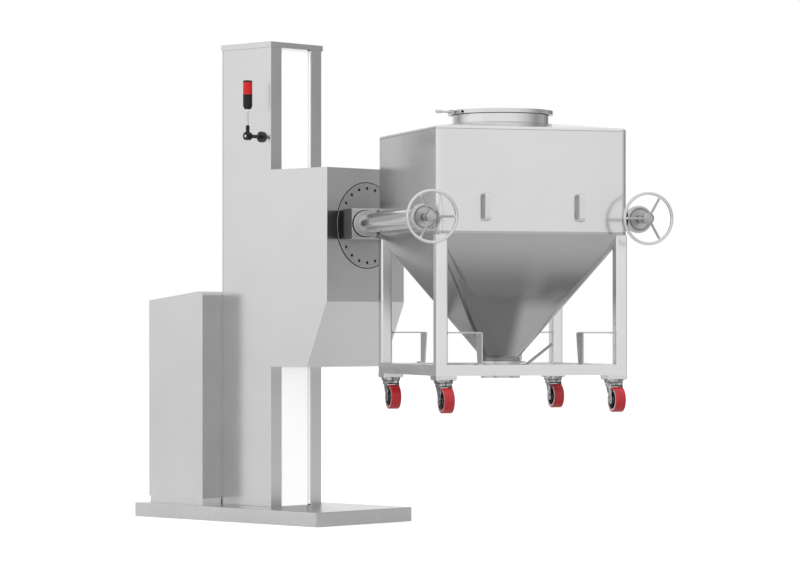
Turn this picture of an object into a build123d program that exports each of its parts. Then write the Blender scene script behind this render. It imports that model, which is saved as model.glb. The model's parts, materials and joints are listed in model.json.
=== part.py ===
from build123d import *
import os
from math import cos, hypot, radians, sin

# Lifting bin blender: a mast on a floor plate lifts a carriage, whose disc turns a pair of arms
# that hold a wheeled bin askew. Millimetres, +Z up, the front faces -Y.
# The origin is the middle of the floor plate's underside.

os.makedirs("parts", exist_ok=True)

# Clearances
slide_gap = 0.3
turn_gap = 0.05
cut_over = 1.0

# Floor plate
base_width = 718.0
base_depth = 1402.0
base_thick = 76.0
base_edge = 4.0
anchor_span_x = 560.0
anchor_span_y = 1240.0
anchor_bore = 20.0
anchor_depth = 45.0

# Mast
mast_x = 32.0
mast_width = 384.0
mast_front = -158.5
mast_depth = 375.0
mast_height = 2557.0
post_width = 82.0
post_wall = 5.0
post_edge = 4.0
back_sheet = 3.0
cap_rim = 30.0
cap_overhang = 6.0
cap_wall = 3.0

# Guide column and slot cover
strip_recess = 12.0
strip_thick = 3.0
strip_width = 194.0
column_width = 150.0
column_depth = 150.0
column_flange = 12.0
column_web = 10.0

# Lift cylinder
barrel_d = 100.0
barrel_wall = 10.0
barrel_length = 950.0
barrel_foot_d = 150.0
barrel_foot = 20.0
barrel_head = 60.0
barrel_behind_column = 30.0
rod_d = 50.0
piston_thick = 40.0
piston_z = 770.0

# Rear cabinet
cabinet_width = 613.0
cabinet_depth = 429.0
cabinet_front_z = 1232.0
cabinet_back_z = 1181.0
cabinet_wall = 3.0
cabinet_round = 28.0
plinth_height = 36.0
plinth_inset = 5.0
door_width = 540.0
door_height = 900.0
door_foot = 130.0
door_thick = 20.0
door_gap = 3.0
door_sheet = 2.0
hinge_pin_d = 12.0
hinge_length = 60.0
latch_d = 46.0
latch_shaft_d = 23.0
latch_knob = 11.0
latch_wing = 20.0
latch_wing_width = 12.0
latch_cam = 36.0

# Power pack in the cabinet
tank_width = 340.0
tank_depth = 260.0
tank_height = 240.0
pump_motor_d = 150.0
pump_motor_height = 260.0
pump_motor_cap = 20.0
pump_motor_cap_inset = 10.0
tank_round = 12.0
tank_lid_lap = 12.0
tank_lid = 6.0
valve_block_width = 90.0
valve_block_depth = 120.0
valve_block_height = 80.0

# Signal lamp on the mast
lamp_y = -91.0
lamp_z = 2052.0
lamp_flange_d = 58.0
lamp_flange = 12.0
lamp_flange_edge = 2.0
lamp_arm_d = 20.0
lamp_reach = 105.0
lamp_knuckle_d = 44.0
lamp_knuckle = 33.0
lamp_knuckle_edge = 3.0
lamp_stub_d = 20.0
lamp_stub_z = 2108.0
lamp_pole_d = 9.0
lamp_pole_z = 2195.0
lamp_socket_z = 2271.0
lamp_lens_z = 2340.0
lamp_cap_z = 2348.0
lamp_socket_low_d = 34.0
lamp_d = 50.0
lamp_glass = 4.0
lamp_foot = 16.0
lamp_groove_z = 2236.0
lamp_groove = 1.5
lamp_cap_edge = 4.0

# Carriage housing
axis_x = 135.0
axis_z = 1574.0
housing_left_reach = 300.0
housing_right_reach = 290.5
housing_front = -585.0
housing_top = 1875.0
housing_bend = 1169.5
housing_low_front = -436.5
housing_bottom = 824.0
housing_wall = 3.0
housing_edge = 6.0
cheek_lap = 95.0
mast_clear = 8.0

# Carriage frame
frame_plate = 15.0
frame_side = 12.0
frame_inset = 12.0
frame_low = 1190.0
frame_high = 1850.0
rear_plate_y = -262.0
blade_thick = 10.0
blade_low = 950.0
crosshead_z = 1660.0
crosshead_thick = 50.0
crosshead_gap = 10.0
block_height = 120.0
block_end_gap = 50.0

# Turning disc and its drive
disc_d = 450.0
disc_thick = 20.0
disc_proud = 4.0
disc_gap = 2.0
disc_edge = 1.5
screw_circle_d = 394.0
screw_count = 20
screw_d = 10.0
screw_head_d = 16.0
screw_head = 9.0
screw_sink = 1.0
screw_hex = 8.0
spigot_d = 300.0
spigot_length = 49.0
ring_d = 522.0
ring_thick = 40.0
ring_edge = 8.0
shaft_d = 80.0
shaft_length = 190.0
shaft_end_gap = 2.0
gearbox_size = 220.0
gearbox_depth = 208.0
gearbox_flange_d = 170.0
gearbox_flange = 20.0
gearbox_round = 24.0
drive_motor_d = 160.0
drive_motor_length = 270.0
drive_motor_fins = 24
drive_motor_flange = 14.0
drive_motor_flange_lap = 10.0
drive_motor_fin_height = 8.0
drive_motor_fin_width = 4.0
drive_motor_end = 50.0

# Skewed holding frame: beam, arms and bin share this place and angle
skew = 29.5
bin_y = -1533.0
beam_half_length = 640.0
beam_front = 524.0
beam_depth = 133.0
beam_height = 158.0
beam_wall = 8.0
beam_edge = 8.0
beam_cap = 4.0
beam_plug = 30.0
wedge_height = 150.0
wedge_right = 200.0
wedge_wall = 14.0
arm_d = 100.0
arm_wall = 6.0
arm_gap = 12.2
arm_end = -470.0
root_collar_d = 135.0
root_collar = 19.0
end_collar_d = 136.0
end_collar = 40.0
end_collar_edge = 9.0
end_collar_flat = 60.0

# Handwheels and clamps
wheel_n = -625.3
wheel_d = 250.0
wheel_bar_d = 15.0
wheel_joint_angle = 80.0
spoke_d = 12.0
hub_back_d = 36.0
hub_front_d = 56.0
hub_length = 128.0
hub_front = 20.0
hub_dome = 12.0
spindle_d = 20.0
spindle_end = 60.0
wedge_travel = 40.0
clamp_travel = 6.0
clamp_length = 200.0
clamp_height = 22.0
clamp_touch = 0.4
clamp_mid_n = -60.0
nut_length = 90.0
nut_height = 28.0
nut_back = 30.0
nut_spare = 2.0

# Bin
bin_width = 1000.0
bin_corner = 30.0
bin_wall = 3.0
bin_wall_top = 2025.0
bin_seam = 1497.4
neck_base = 2066.0
neck_d = 490.0
neck_top = 2122.0
neck_wall = 4.0
rim_d = 516.0
rim_thick = 8.0
outlet_d = 190.0
outlet_z = 882.0
roof_edge = 14.0

# Lid
gasket_thick = 3.0
lid_edge = 6.0
lid_rise = 24.0
lid_sheet = 4.0
band_d = 536.0
band_low = 8.0
band_lip = 3.0
band_slit = 24.0
lever_angle = 193.0
lever_length = 74.0
lever_bar_d = 12.0
lever_block = 30.0
lever_grip_d = 18.0
lever_grip = 34.0
lever_pin_d = 10.0
lug_size = 10.0
lug_sink = 1.0
dome_d = 432.0

# Bin frame
leg = 60.0
leg_round = 10.0
leg_wall = 4.0
rail_low = 796.0
rail_height = 53.5
rail_width = 50.0
rail_wall = 3.0
leg_end_gap = 6.0
guide_reach = 179.0
guide_height = 162.0
guide_bar = 7.0
guide_depth = 92.0
guide_depth_low = 62.0
guide_foot = 28.0
guide_round = 12.0
handle_u = 246.0
handle_z = 1627.0
handle_height = 130.0
handle_reach = 38.0
handle_width = 29.0
handle_thick = 6.0
handle_bend = 14.0

# Valve
valve_bore = 180.0
valve_wall = 5.0
valve_low = 777.0
valve_flange_d = 200.0
valve_flange = 14.0
valve_ring_z = 858.0
valve_ring = 16.0
valve_axis_z = 830.0
valve_shaft_d = 20.0
valve_boss_d = 34.0
valve_boss_u = 112.0
valve_disc_gap = 0.5
valve_disc_thick = 10.0
lever_hub = 20.0
lever_rod_d = 14.0
lever_rise = 120.0
lever_run = 160.0

# Casters
caster_plate = 19.0
caster_plate_size = 106.0
caster_plate_round = 6.0
caster_inset_u = 53.0
caster_inset_n = 53.0
caster_d = 125.0
caster_floor = 612.0
caster_trail = 42.0
caster_width = 52.0
tyre_thick = 9.0
fork_head_d = 96.0
fork_crown = 62.0
fork_head = 16.0
fork_sheet = 5.0
fork_gap = 3.0
fork_leg = 44.0
axle_d = 12.0
axle_head_d = 22.0
axle_head = 6.0
rim_hub_d = 34.0
rim_web = 10.0
rim_lip = 6.0
rim_holes = 5
rim_hole_d = 22.0
rim_hole_circle_d = 65.0

# Sizes that follow from the ones above
mast_left = mast_x - mast_width / 2
mast_right = mast_x + mast_width / 2
mast_back = mast_front + mast_depth
slot_width = mast_width - 2 * post_width
column_front = mast_front + strip_recess + strip_thick
column_back = column_front + column_depth
barrel_y = column_back + barrel_behind_column + barrel_d / 2
cabinet_back = mast_back + cabinet_depth
housing_left = axis_x - housing_left_reach
housing_right = axis_x + housing_right_reach
housing_rear = mast_front + cheek_lap
disc_front = housing_front - disc_proud
disc_back = disc_front + disc_thick
frame_front = housing_front + housing_wall
frame_left = housing_left + housing_wall + frame_inset
frame_right = housing_right - housing_wall - frame_inset
blade_inner = strip_width / 2 + (slot_width / 2 - strip_width / 2 - blade_thick) / 2
blade_back = barrel_y + barrel_d / 2 + crosshead_gap
arm_u = bin_width / 2 + arm_gap + arm_d / 2
arm_bore = arm_d - 2 * arm_wall
beam_mid = beam_front + beam_depth / 2
beam_back = beam_front + beam_depth
leg_mid = (bin_width - leg) / 2
caster_u = bin_width / 2 - caster_inset_u
caster_n = bin_width / 2 - caster_inset_n
caster_axle_z = caster_floor + caster_d / 2

across = Vector(cos(radians(skew)), -sin(radians(skew)), 0)
backward = Vector(sin(radians(skew)), cos(radians(skew)), 0)
bin_middle = Vector(axis_x, bin_y, 0)


def bin_point(u, n, z=0.0):
    """Point at u across and n backward from the middle of the bin."""
    return bin_middle + across * u + backward * n + Vector(0, 0, z)


def level(z, u=0.0, n=0.0):
    """Horizontal plane in the bin's skewed directions."""
    return Plane(origin=bin_point(u, n, z), x_dir=across, z_dir=(0, 0, 1))


def upright(n, u=0.0, z=0.0):
    """Upright plane across the bin, looking at the front: x across, y up, growing forward."""
    return Plane(origin=bin_point(u, n, z), x_dir=across, z_dir=-backward)


def sideways(u, n=0.0, z=0.0):
    """Upright plane along the arms: x backward, y up, growing across."""
    return Plane(origin=bin_point(u, n, z), x_dir=backward, z_dir=across)


def front_plane(y, x=0.0, z=0.0):
    """Upright plane parallel to the mast's front: x right, y up, growing forward."""
    return Plane(origin=(x, y, z), x_dir=(1, 0, 0), z_dir=(0, -1, 0))


def box_between(low, high, mode=Mode.ADD):
    """Box between two opposite corners, square to the mast."""
    middle = tuple((a + b) / 2 for a, b in zip(low, high))
    with Locations(middle):
        Box(high[0] - low[0], high[1] - low[1], high[2] - low[2], mode=mode)


def save(builder, name):
    builder.part.label = name
    export_step(builder.part, f"parts/{name}.step")


# Floor plate with blind tapped holes for anchors or levelling feet
with BuildPart() as base_plate:
    with BuildSketch():
        Rectangle(base_width, base_depth)
    extrude(amount=base_thick)
    fillet(base_plate.edges().group_by(Axis.Z)[-1], radius=base_edge)
    with BuildSketch():
        with GridLocations(anchor_span_x, anchor_span_y, 2, 2):
            Circle(anchor_bore / 2)
    extrude(amount=anchor_depth, mode=Mode.SUBTRACT)
save(base_plate, "base_plate")

# Mast posts
post_depth = mast_depth - back_sheet
for side, post_name in ((-1, "mast_left_post"), (1, "mast_right_post")):
    post_x = mast_x + side * (mast_width - post_width) / 2
    with BuildPart() as mast_post:
        with BuildSketch(Plane((post_x, mast_front + post_depth / 2, base_thick))):
            RectangleRounded(post_width, post_depth, post_edge)
            Rectangle(post_width - 2 * post_wall, post_depth - 2 * post_wall, mode=Mode.SUBTRACT)
        extrude(amount=mast_height - base_thick)
    save(mast_post, post_name)

# Mast back panel
with BuildPart() as mast_back_panel:
    box_between(
        (mast_left, mast_back - back_sheet, base_thick),
        (mast_right, mast_back, mast_height),
    )
save(mast_back_panel, "mast_back_panel")

# Mast cap: a folded tray, upside down
with BuildPart() as mast_cap:
    with BuildSketch(Plane((mast_x, mast_front + mast_depth / 2, mast_height + cap_wall - cap_rim))):
        RectangleRounded(mast_width + 2 * cap_overhang, mast_depth + 2 * cap_overhang, post_edge)
    extrude(amount=cap_rim)
    with BuildSketch(Plane((mast_x, mast_front + mast_depth / 2, mast_height + cap_wall - cap_rim))):
        Rectangle(
            mast_width + 2 * (cap_overhang - cap_wall),
            mast_depth + 2 * (cap_overhang - cap_wall),
        )
    extrude(amount=cap_rim - cap_wall, mode=Mode.SUBTRACT)
    fillet(mast_cap.edges().group_by(Axis.Z)[-1], radius=cap_wall / 2)
save(mast_cap, "mast_cap")

# Guide column: an H section that the guide blocks run in
with BuildPart() as guide_column:
    with BuildSketch(Plane((mast_x, column_front + column_depth / 2, base_thick))):
        Rectangle(column_width, column_depth)
        with Locations((column_width / 2, 0), (-column_width / 2, 0)):
            Rectangle(
                column_width - column_web,
                column_depth - 2 * column_flange,
                mode=Mode.SUBTRACT,
            )
    extrude(amount=mast_height - base_thick)
save(guide_column, "guide_column")

# Pale strip over the slot, on the column's front flange
with BuildPart() as slot_cover:
    box_between(
        (mast_x - strip_width / 2, column_front - strip_thick, base_thick),
        (mast_x + strip_width / 2, column_front, mast_height),
    )
save(slot_cover, "slot_cover")

# Lift cylinder: barrel on the floor plate, piston and rod on the carriage
with BuildPart() as cylinder_barrel:
    with BuildSketch(Plane((mast_x, barrel_y, base_thick))):
        Circle(barrel_foot_d / 2)
    extrude(amount=barrel_foot)
    with BuildSketch(Plane((mast_x, barrel_y, base_thick + barrel_foot))):
        Circle(barrel_d / 2)
        Circle(barrel_d / 2 - barrel_wall, mode=Mode.SUBTRACT)
    extrude(amount=barrel_length - barrel_foot - barrel_head)
    with BuildSketch(Plane((mast_x, barrel_y, base_thick + barrel_length - barrel_head))):
        Circle(barrel_d / 2 + barrel_wall / 2)
        Circle(rod_d / 2 + turn_gap, mode=Mode.SUBTRACT)
    extrude(amount=barrel_head)
save(cylinder_barrel, "cylinder_barrel")

with BuildPart() as piston_rod:
    with BuildSketch(Plane((mast_x, barrel_y, piston_z))):
        Circle(barrel_d / 2 - barrel_wall - turn_gap)
    extrude(amount=piston_thick)
    with BuildSketch(Plane((mast_x, barrel_y, piston_z + piston_thick))):
        Circle(rod_d / 2)
    extrude(amount=crosshead_z - piston_z - piston_thick)
save(piston_rod, "piston_rod")


# Rear cabinet: folded shell with a raked, rounded top, on a set-back plinth
hinge_x = -door_width / 2 - door_gap / 2
hinge_y = cabinet_back + hinge_pin_d / 2 + slide_gap
door_low = base_thick + door_foot
hinge_heights = (door_low + door_height / 8, door_low + door_height * 7 / 8 - hinge_length)


def hinge_half(low_z, length, side):
    """Knuckle and leaf of a pin hinge; side is 1 for the door's half and -1 for the cabinet's."""
    leaf_y = cabinet_back + door_sheet / 2 - hinge_y
    with BuildPart() as half:
        with BuildSketch(Plane((hinge_x, hinge_y, low_z))):
            Circle(hinge_pin_d / 2)
            with Locations((side * hinge_pin_d, leaf_y)):
                Rectangle(2 * hinge_pin_d, door_sheet)
        extrude(amount=length)
    return half.part


def cabinet_outline(inset, low):
    return [
        (mast_back + inset, low),
        (mast_back + inset, cabinet_front_z - inset),
        (cabinet_back - inset, cabinet_back_z - inset),
        (cabinet_back - inset, low),
    ]


cabinet_foot = base_thick + plinth_height
fixed_halves = []
for low_z in hinge_heights:
    fixed_halves.append(hinge_half(low_z - slide_gap - hinge_length / 2, hinge_length / 2, -1))
    fixed_halves.append(hinge_half(low_z + hinge_length + slide_gap, hinge_length / 2, -1))
door_halves = [hinge_half(low_z, hinge_length, 1) for low_z in hinge_heights]

with BuildPart() as cabinet_shell:
    with BuildSketch(Plane.YZ) as cabinet_outer:
        Polygon(*cabinet_outline(0, cabinet_foot), align=None)
        fillet(cabinet_outer.vertices().group_by(Axis.Y)[-1].sort_by(Axis.X)[-1], cabinet_round)
    extrude(amount=cabinet_width / 2, both=True)
    with BuildSketch(Plane.YZ) as cabinet_inner:
        Polygon(*cabinet_outline(cabinet_wall, cabinet_foot), align=None)
        fillet(
            cabinet_inner.vertices().group_by(Axis.Y)[-1].sort_by(Axis.X)[-1],
            cabinet_round - cabinet_wall,
        )
    extrude(amount=cabinet_width / 2 - cabinet_wall, both=True, mode=Mode.SUBTRACT)
    box_between(
        (-door_width / 2 - door_gap, cabinet_back - 2 * cabinet_wall, door_low - door_gap),
        (door_width / 2 + door_gap, cabinet_back + cabinet_wall, door_low + door_height + door_gap),
        mode=Mode.SUBTRACT,
    )
    with BuildSketch(Plane((0, mast_back + cabinet_depth / 2, base_thick))):
        Rectangle(cabinet_width - 2 * plinth_inset, cabinet_depth - 2 * plinth_inset)
        Rectangle(
            cabinet_width - 2 * plinth_inset - 4 * cabinet_wall,
            cabinet_depth - 2 * plinth_inset - 4 * cabinet_wall,
            mode=Mode.SUBTRACT,
        )
    extrude(amount=plinth_height)
    with BuildSketch(Plane((0, mast_back + cabinet_depth / 2, cabinet_foot))):
        Rectangle(cabinet_width - 2 * cabinet_wall, cabinet_depth - 2 * cabinet_wall)
        Rectangle(
            cabinet_width - 2 * plinth_inset - 4 * cabinet_wall,
            cabinet_depth - 2 * plinth_inset - 4 * cabinet_wall,
            mode=Mode.SUBTRACT,
        )
    extrude(amount=cabinet_wall)
    add(fixed_halves)
save(cabinet_shell, "cabinet_shell")

# Cabinet door: a tray in the rear opening, on two pin hinges
with BuildPart() as cabinet_door:
    box_between(
        (-door_width / 2, cabinet_back - door_thick, door_low),
        (door_width / 2, cabinet_back, door_low + door_height),
    )
    box_between(
        (-door_width / 2 + door_sheet, cabinet_back - door_thick, door_low + door_sheet),
        (door_width / 2 - door_sheet, cabinet_back - door_sheet, door_low + door_height - door_sheet),
        mode=Mode.SUBTRACT,
    )
    add(door_halves)
    with BuildSketch(front_plane(cabinet_back, door_width / 2 - latch_d, door_low + door_height / 2)):
        Circle(latch_shaft_d / 2 + turn_gap)
    extrude(amount=door_thick, mode=Mode.SUBTRACT)
save(cabinet_door, "cabinet_door")

# Door latch: a wing knob outside, a cam inside
latch_x = door_width / 2 - latch_d
latch_z = door_low + door_height / 2
with BuildPart() as door_latch:
    with BuildSketch(front_plane(cabinet_back + latch_knob + latch_wing, latch_x, latch_z)):
        SlotOverall(latch_d - 2 * lug_sink, latch_wing_width, rotation=90)
    extrude(amount=latch_wing)
    with BuildSketch(front_plane(cabinet_back + latch_knob, latch_x, latch_z)):
        Circle(latch_d / 2)
    extrude(amount=latch_knob - slide_gap)
    with BuildSketch(front_plane(cabinet_back + slide_gap, latch_x, latch_z)):
        Circle(latch_shaft_d / 2)
    extrude(amount=door_thick + door_sheet + slide_gap)
    with BuildSketch(front_plane(cabinet_back - door_thick - door_sheet, latch_x, latch_z)):
        with Locations(((latch_cam - latch_shaft_d) / 2, 0)):
            Rectangle(latch_cam, latch_shaft_d)
    extrude(amount=2 * door_sheet)
save(door_latch, "door_latch")

# Power pack: oil tank with the pump motor upright on it
pack_y = mast_back + cabinet_depth / 2
tank_top = base_thick + tank_height + tank_lid
with BuildPart() as power_pack:
    with BuildSketch(Plane((0, pack_y, base_thick))):
        RectangleRounded(tank_width, tank_depth, tank_round)
    extrude(amount=tank_height)
    with BuildSketch(Plane((0, pack_y, tank_top - tank_lid))):
        RectangleRounded(tank_width + 2 * tank_lid_lap, tank_depth + 2 * tank_lid_lap, tank_round)
    extrude(amount=tank_lid)
    with BuildSketch(Plane((-tank_width / 5, pack_y, tank_top))):
        Circle(pump_motor_d / 2)
    extrude(amount=pump_motor_height)
    with BuildSketch(Plane((-tank_width / 5, pack_y, tank_top + pump_motor_height))):
        Circle(pump_motor_d / 2 - pump_motor_cap_inset)
    extrude(amount=pump_motor_cap)
    with BuildSketch(Plane((tank_width / 4, pack_y, tank_top))):
        RectangleRounded(valve_block_width, valve_block_depth, tank_lid)
    extrude(amount=valve_block_height)
save(power_pack, "power_pack")

# Signal lamp: flange and arm on the mast, then the tilting pole with its socket and lens
lamp_x = mast_left - lamp_reach
with BuildPart() as beacon_bracket:
    with BuildSketch(Plane((mast_left, lamp_y, lamp_z), x_dir=(0, 1, 0), z_dir=(-1, 0, 0))):
        Circle(lamp_flange_d / 2)
    extrude(amount=lamp_flange)
    fillet(beacon_bracket.edges().group_by(Axis.X)[0], radius=lamp_flange_edge)
    with BuildSketch(Plane((mast_left, lamp_y, lamp_z), x_dir=(0, 1, 0), z_dir=(-1, 0, 0))):
        Circle(lamp_arm_d / 2)
    extrude(amount=lamp_reach - lamp_knuckle / 2 - slide_gap)
save(beacon_bracket, "beacon_bracket")

with BuildPart() as beacon_pole:
    with BuildSketch(Plane((lamp_x + lamp_knuckle / 2, lamp_y, lamp_z), x_dir=(0, 1, 0), z_dir=(-1, 0, 0))):
        Circle(lamp_knuckle_d / 2)
    extrude(amount=lamp_knuckle)
    fillet(beacon_pole.edges().filter_by(GeomType.CIRCLE), radius=lamp_knuckle_edge)
    with BuildSketch(Plane((lamp_x, 0, 0), x_dir=(0, 1, 0), z_dir=(1, 0, 0))) as lamp_profile:
        with BuildLine():
            Polyline(
                (lamp_y, lamp_z),
                (lamp_y + lamp_stub_d / 2, lamp_z),
                (lamp_y + lamp_stub_d / 2, lamp_stub_z),
                (lamp_y + lamp_pole_d / 2, lamp_stub_z),
                (lamp_y + lamp_pole_d / 2, lamp_pole_z),
                (lamp_y + lamp_socket_low_d / 2, lamp_pole_z),
                (lamp_y + lamp_d / 2, lamp_pole_z + lamp_foot),
                (lamp_y + lamp_d / 2, lamp_groove_z),
                (lamp_y + lamp_d / 2 - lamp_groove, lamp_groove_z),
                (lamp_y + lamp_d / 2 - lamp_groove, lamp_groove_z + 2 * lamp_groove),
                (lamp_y + lamp_d / 2, lamp_groove_z + 2 * lamp_groove),
                (lamp_y + lamp_d / 2, lamp_socket_z),
                (lamp_y + lamp_d / 4, lamp_socket_z),
                (lamp_y + lamp_d / 4, lamp_lens_z),
                (lamp_y + lamp_d / 2, lamp_lens_z),
                (lamp_y + lamp_d / 2, lamp_cap_z - lamp_cap_edge),
                (lamp_y + lamp_d / 2 - lamp_cap_edge, lamp_cap_z),
                (lamp_y, lamp_cap_z),
                close=True,
            )
        make_face()
    revolve(axis=Axis((lamp_x, lamp_y, 0), (0, 0, 1)))
save(beacon_pole, "beacon_pole")

with BuildPart() as beacon_lens:
    with BuildSketch(Plane((lamp_x, lamp_y, lamp_socket_z))):
        Circle(lamp_d / 2)
        Circle(lamp_d / 2 - lamp_glass, mode=Mode.SUBTRACT)
    extrude(amount=lamp_lens_z - lamp_socket_z)
save(beacon_lens, "beacon_lens")


# Carriage housing: folded sheet that laps the mast's left side and stands clear of its right side
def housing_outline(inset):
    rake = (housing_low_front - housing_front) / (housing_bend - housing_bottom)
    return [
        (housing_front + inset, housing_top - inset),
        (housing_front + inset, housing_bend),
        (housing_low_front + inset * (1 - rake), housing_bottom + inset),
        (housing_rear - inset, housing_bottom + inset),
        (housing_rear - inset, housing_top - inset),
    ]


with BuildPart() as carriage_housing:
    with BuildSketch(Plane.YZ.offset(housing_left)):
        Polygon(*housing_outline(0), align=None)
    extrude(amount=housing_right - housing_left)
    outer_corners = carriage_housing.edges().group_by(Axis.Y)[0]
    fillet(outer_corners.filter_by(Axis.Z), radius=housing_edge)
    with BuildSketch(Plane.YZ.offset(housing_left + housing_wall)):
        Polygon(*housing_outline(housing_wall), align=None)
    extrude(amount=housing_right - housing_left - 2 * housing_wall, mode=Mode.SUBTRACT)
    box_between(
        (housing_left + housing_wall, mast_front - mast_clear, housing_bottom - cut_over),
        (mast_right + mast_clear, housing_rear + cut_over, housing_top + cut_over),
        mode=Mode.SUBTRACT,
    )
    box_between(
        (mast_right + mast_clear, mast_front - mast_clear, housing_bottom),
        (mast_right + mast_clear + housing_wall, housing_rear, housing_top),
    )
    with BuildSketch(front_plane(housing_front + housing_wall, axis_x, axis_z)):
        Circle(disc_d / 2 + disc_gap)
    extrude(amount=2 * housing_wall, mode=Mode.SUBTRACT)
save(carriage_housing, "carriage_housing")

# Carriage frame: drive box behind the housing's front, two blades through the slot, a crosshead
rear_plate_back = rear_plate_y + frame_plate
with BuildPart() as carriage_frame:
    box_between((frame_left, frame_front, frame_low), (frame_right, frame_front + frame_plate, frame_high))
    box_between((frame_left, rear_plate_y, blade_low), (frame_right, rear_plate_back, frame_high))
    for side_x in (frame_left, frame_right - frame_side):
        box_between((side_x, frame_front, frame_low), (side_x + frame_side, rear_plate_back, frame_high))
    for side in (-1, 1):
        near = mast_x + side * blade_inner
        far = mast_x + side * (blade_inner + blade_thick)
        box_between(
            (min(near, far), rear_plate_y, blade_low),
            (max(near, far), blade_back, frame_high),
        )
    box_between(
        (mast_x - blade_inner - blade_thick, column_back + crosshead_gap, crosshead_z),
        (mast_x + blade_inner + blade_thick, blade_back, crosshead_z + crosshead_thick),
    )
    with BuildSketch(front_plane(frame_front + frame_plate, axis_x, axis_z)):
        Circle(disc_d / 2 + disc_gap)
    extrude(amount=2 * frame_plate, mode=Mode.SUBTRACT)
save(carriage_frame, "carriage_frame")

# Guide blocks: four sliding blocks in the column's pockets
with BuildPart() as guide_blocks:
    pocket_front = column_front + column_flange + slide_gap
    pocket_back = column_back - column_flange - slide_gap
    for block_z in (blade_low + block_end_gap, frame_high - block_end_gap - block_height):
        for side in (-1, 1):
            near = mast_x + side * (column_web / 2 + slide_gap)
            far = mast_x + side * blade_inner
            box_between(
                (min(near, far), pocket_front, block_z),
                (max(near, far), pocket_back, block_z + block_height),
            )
save(guide_blocks, "guide_blocks")

# Bearing ring behind the front plate
ring_front = frame_front + frame_plate
with BuildPart() as bearing_ring:
    with BuildSketch(front_plane(ring_front + ring_thick, axis_x, axis_z)):
        Circle(ring_d / 2)
        Circle(spigot_d / 2, mode=Mode.SUBTRACT)
    extrude(amount=ring_thick)
    chamfer(bearing_ring.edges().group_by(Axis.Y)[-1].sort_by(SortBy.RADIUS)[-1], length=ring_edge)
save(bearing_ring, "bearing_ring")

# Gearbox on the rear plate, with the motor upright under it
gearbox_front = rear_plate_y - gearbox_depth
with BuildPart() as gearbox:
    with BuildSketch(front_plane(rear_plate_y, axis_x, axis_z)):
        RectangleRounded(gearbox_size, gearbox_size, gearbox_round)
    extrude(amount=gearbox_depth - gearbox_flange)
    with BuildSketch(front_plane(gearbox_front + gearbox_flange, axis_x, axis_z)):
        Circle(gearbox_flange_d / 2)
    extrude(amount=gearbox_flange)
    with BuildSketch(front_plane(disc_back + spigot_length + shaft_length, axis_x, axis_z)):
        Circle(shaft_d / 2 + turn_gap)
    extrude(amount=shaft_length, mode=Mode.SUBTRACT)
save(gearbox, "gearbox")

motor_y = rear_plate_y - gearbox_depth / 2
motor_top = axis_z - gearbox_size / 2
with BuildPart() as drive_motor:
    flange_size = drive_motor_d + 2 * drive_motor_flange_lap
    with BuildSketch(Plane((axis_x, motor_y, motor_top - drive_motor_flange))):
        RectangleRounded(flange_size, flange_size, gearbox_round)
    extrude(amount=drive_motor_flange)
    with BuildSketch(Plane((axis_x, motor_y, motor_top - drive_motor_length))):
        Circle(drive_motor_d / 2 - drive_motor_fin_height)
        with PolarLocations(drive_motor_d / 2 - drive_motor_fin_height, drive_motor_fins):
            Rectangle(2 * drive_motor_fin_height, drive_motor_fin_width)
    extrude(amount=drive_motor_length - drive_motor_flange)
    with BuildSketch(Plane((axis_x, motor_y, motor_top - drive_motor_length))):
        Circle(drive_motor_d / 2)
    extrude(amount=drive_motor_end)
save(drive_motor, "drive_motor")

# Turning disc with its spigot, counterbored for the screws
with BuildPart() as rotor_disc:
    with BuildSketch(front_plane(disc_back, axis_x, axis_z)):
        Circle(disc_d / 2)
    extrude(amount=disc_thick)
    fillet(rotor_disc.edges().group_by(Axis.Y)[0], radius=disc_edge)
    with BuildSketch(front_plane(disc_back + spigot_length, axis_x, axis_z)):
        Circle(spigot_d / 2 - turn_gap)
    extrude(amount=spigot_length)
    with BuildSketch(front_plane(disc_front + screw_head + screw_sink, axis_x, axis_z)):
        with PolarLocations(screw_circle_d / 2, screw_count, start_angle=90):
            Circle(screw_head_d / 2 + slide_gap)
    extrude(amount=screw_head + 2 * screw_sink, mode=Mode.SUBTRACT)
    with BuildSketch(front_plane(disc_back, axis_x, axis_z)):
        with PolarLocations(screw_circle_d / 2, screw_count, start_angle=90):
            Circle(screw_d / 2 + slide_gap)
    extrude(amount=disc_thick, mode=Mode.SUBTRACT)
save(rotor_disc, "rotor_disc")

with BuildPart() as disc_screws:
    with BuildSketch(front_plane(disc_front + screw_head + screw_sink, axis_x, axis_z)):
        with PolarLocations(screw_circle_d / 2, screw_count, start_angle=90):
            Circle(screw_head_d / 2)
    extrude(amount=screw_head)
    with BuildSketch(front_plane(disc_back, axis_x, axis_z)):
        with PolarLocations(screw_circle_d / 2, screw_count, start_angle=90):
            Circle(screw_d / 2)
    extrude(amount=disc_thick - screw_head)
    with BuildSketch(front_plane(disc_front + screw_sink + screw_head / 2, axis_x, axis_z)):
        with PolarLocations(screw_circle_d / 2, screw_count, start_angle=90):
            RegularPolygon(screw_hex / 2, 6, major_radius=False)
    extrude(amount=screw_head, mode=Mode.SUBTRACT)
save(disc_screws, "disc_screws")

with BuildPart() as drive_shaft:
    shaft_reach = shaft_length - shaft_end_gap
    with BuildSketch(front_plane(disc_back + spigot_length + shaft_reach, axis_x, axis_z)):
        Circle(shaft_d / 2)
    extrude(amount=shaft_reach)
save(drive_shaft, "drive_shaft")


# Wedge-shaped spacer from the disc to the skewed beam
def on_beam_back(u):
    return bin_point(u, beam_back)


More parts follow.
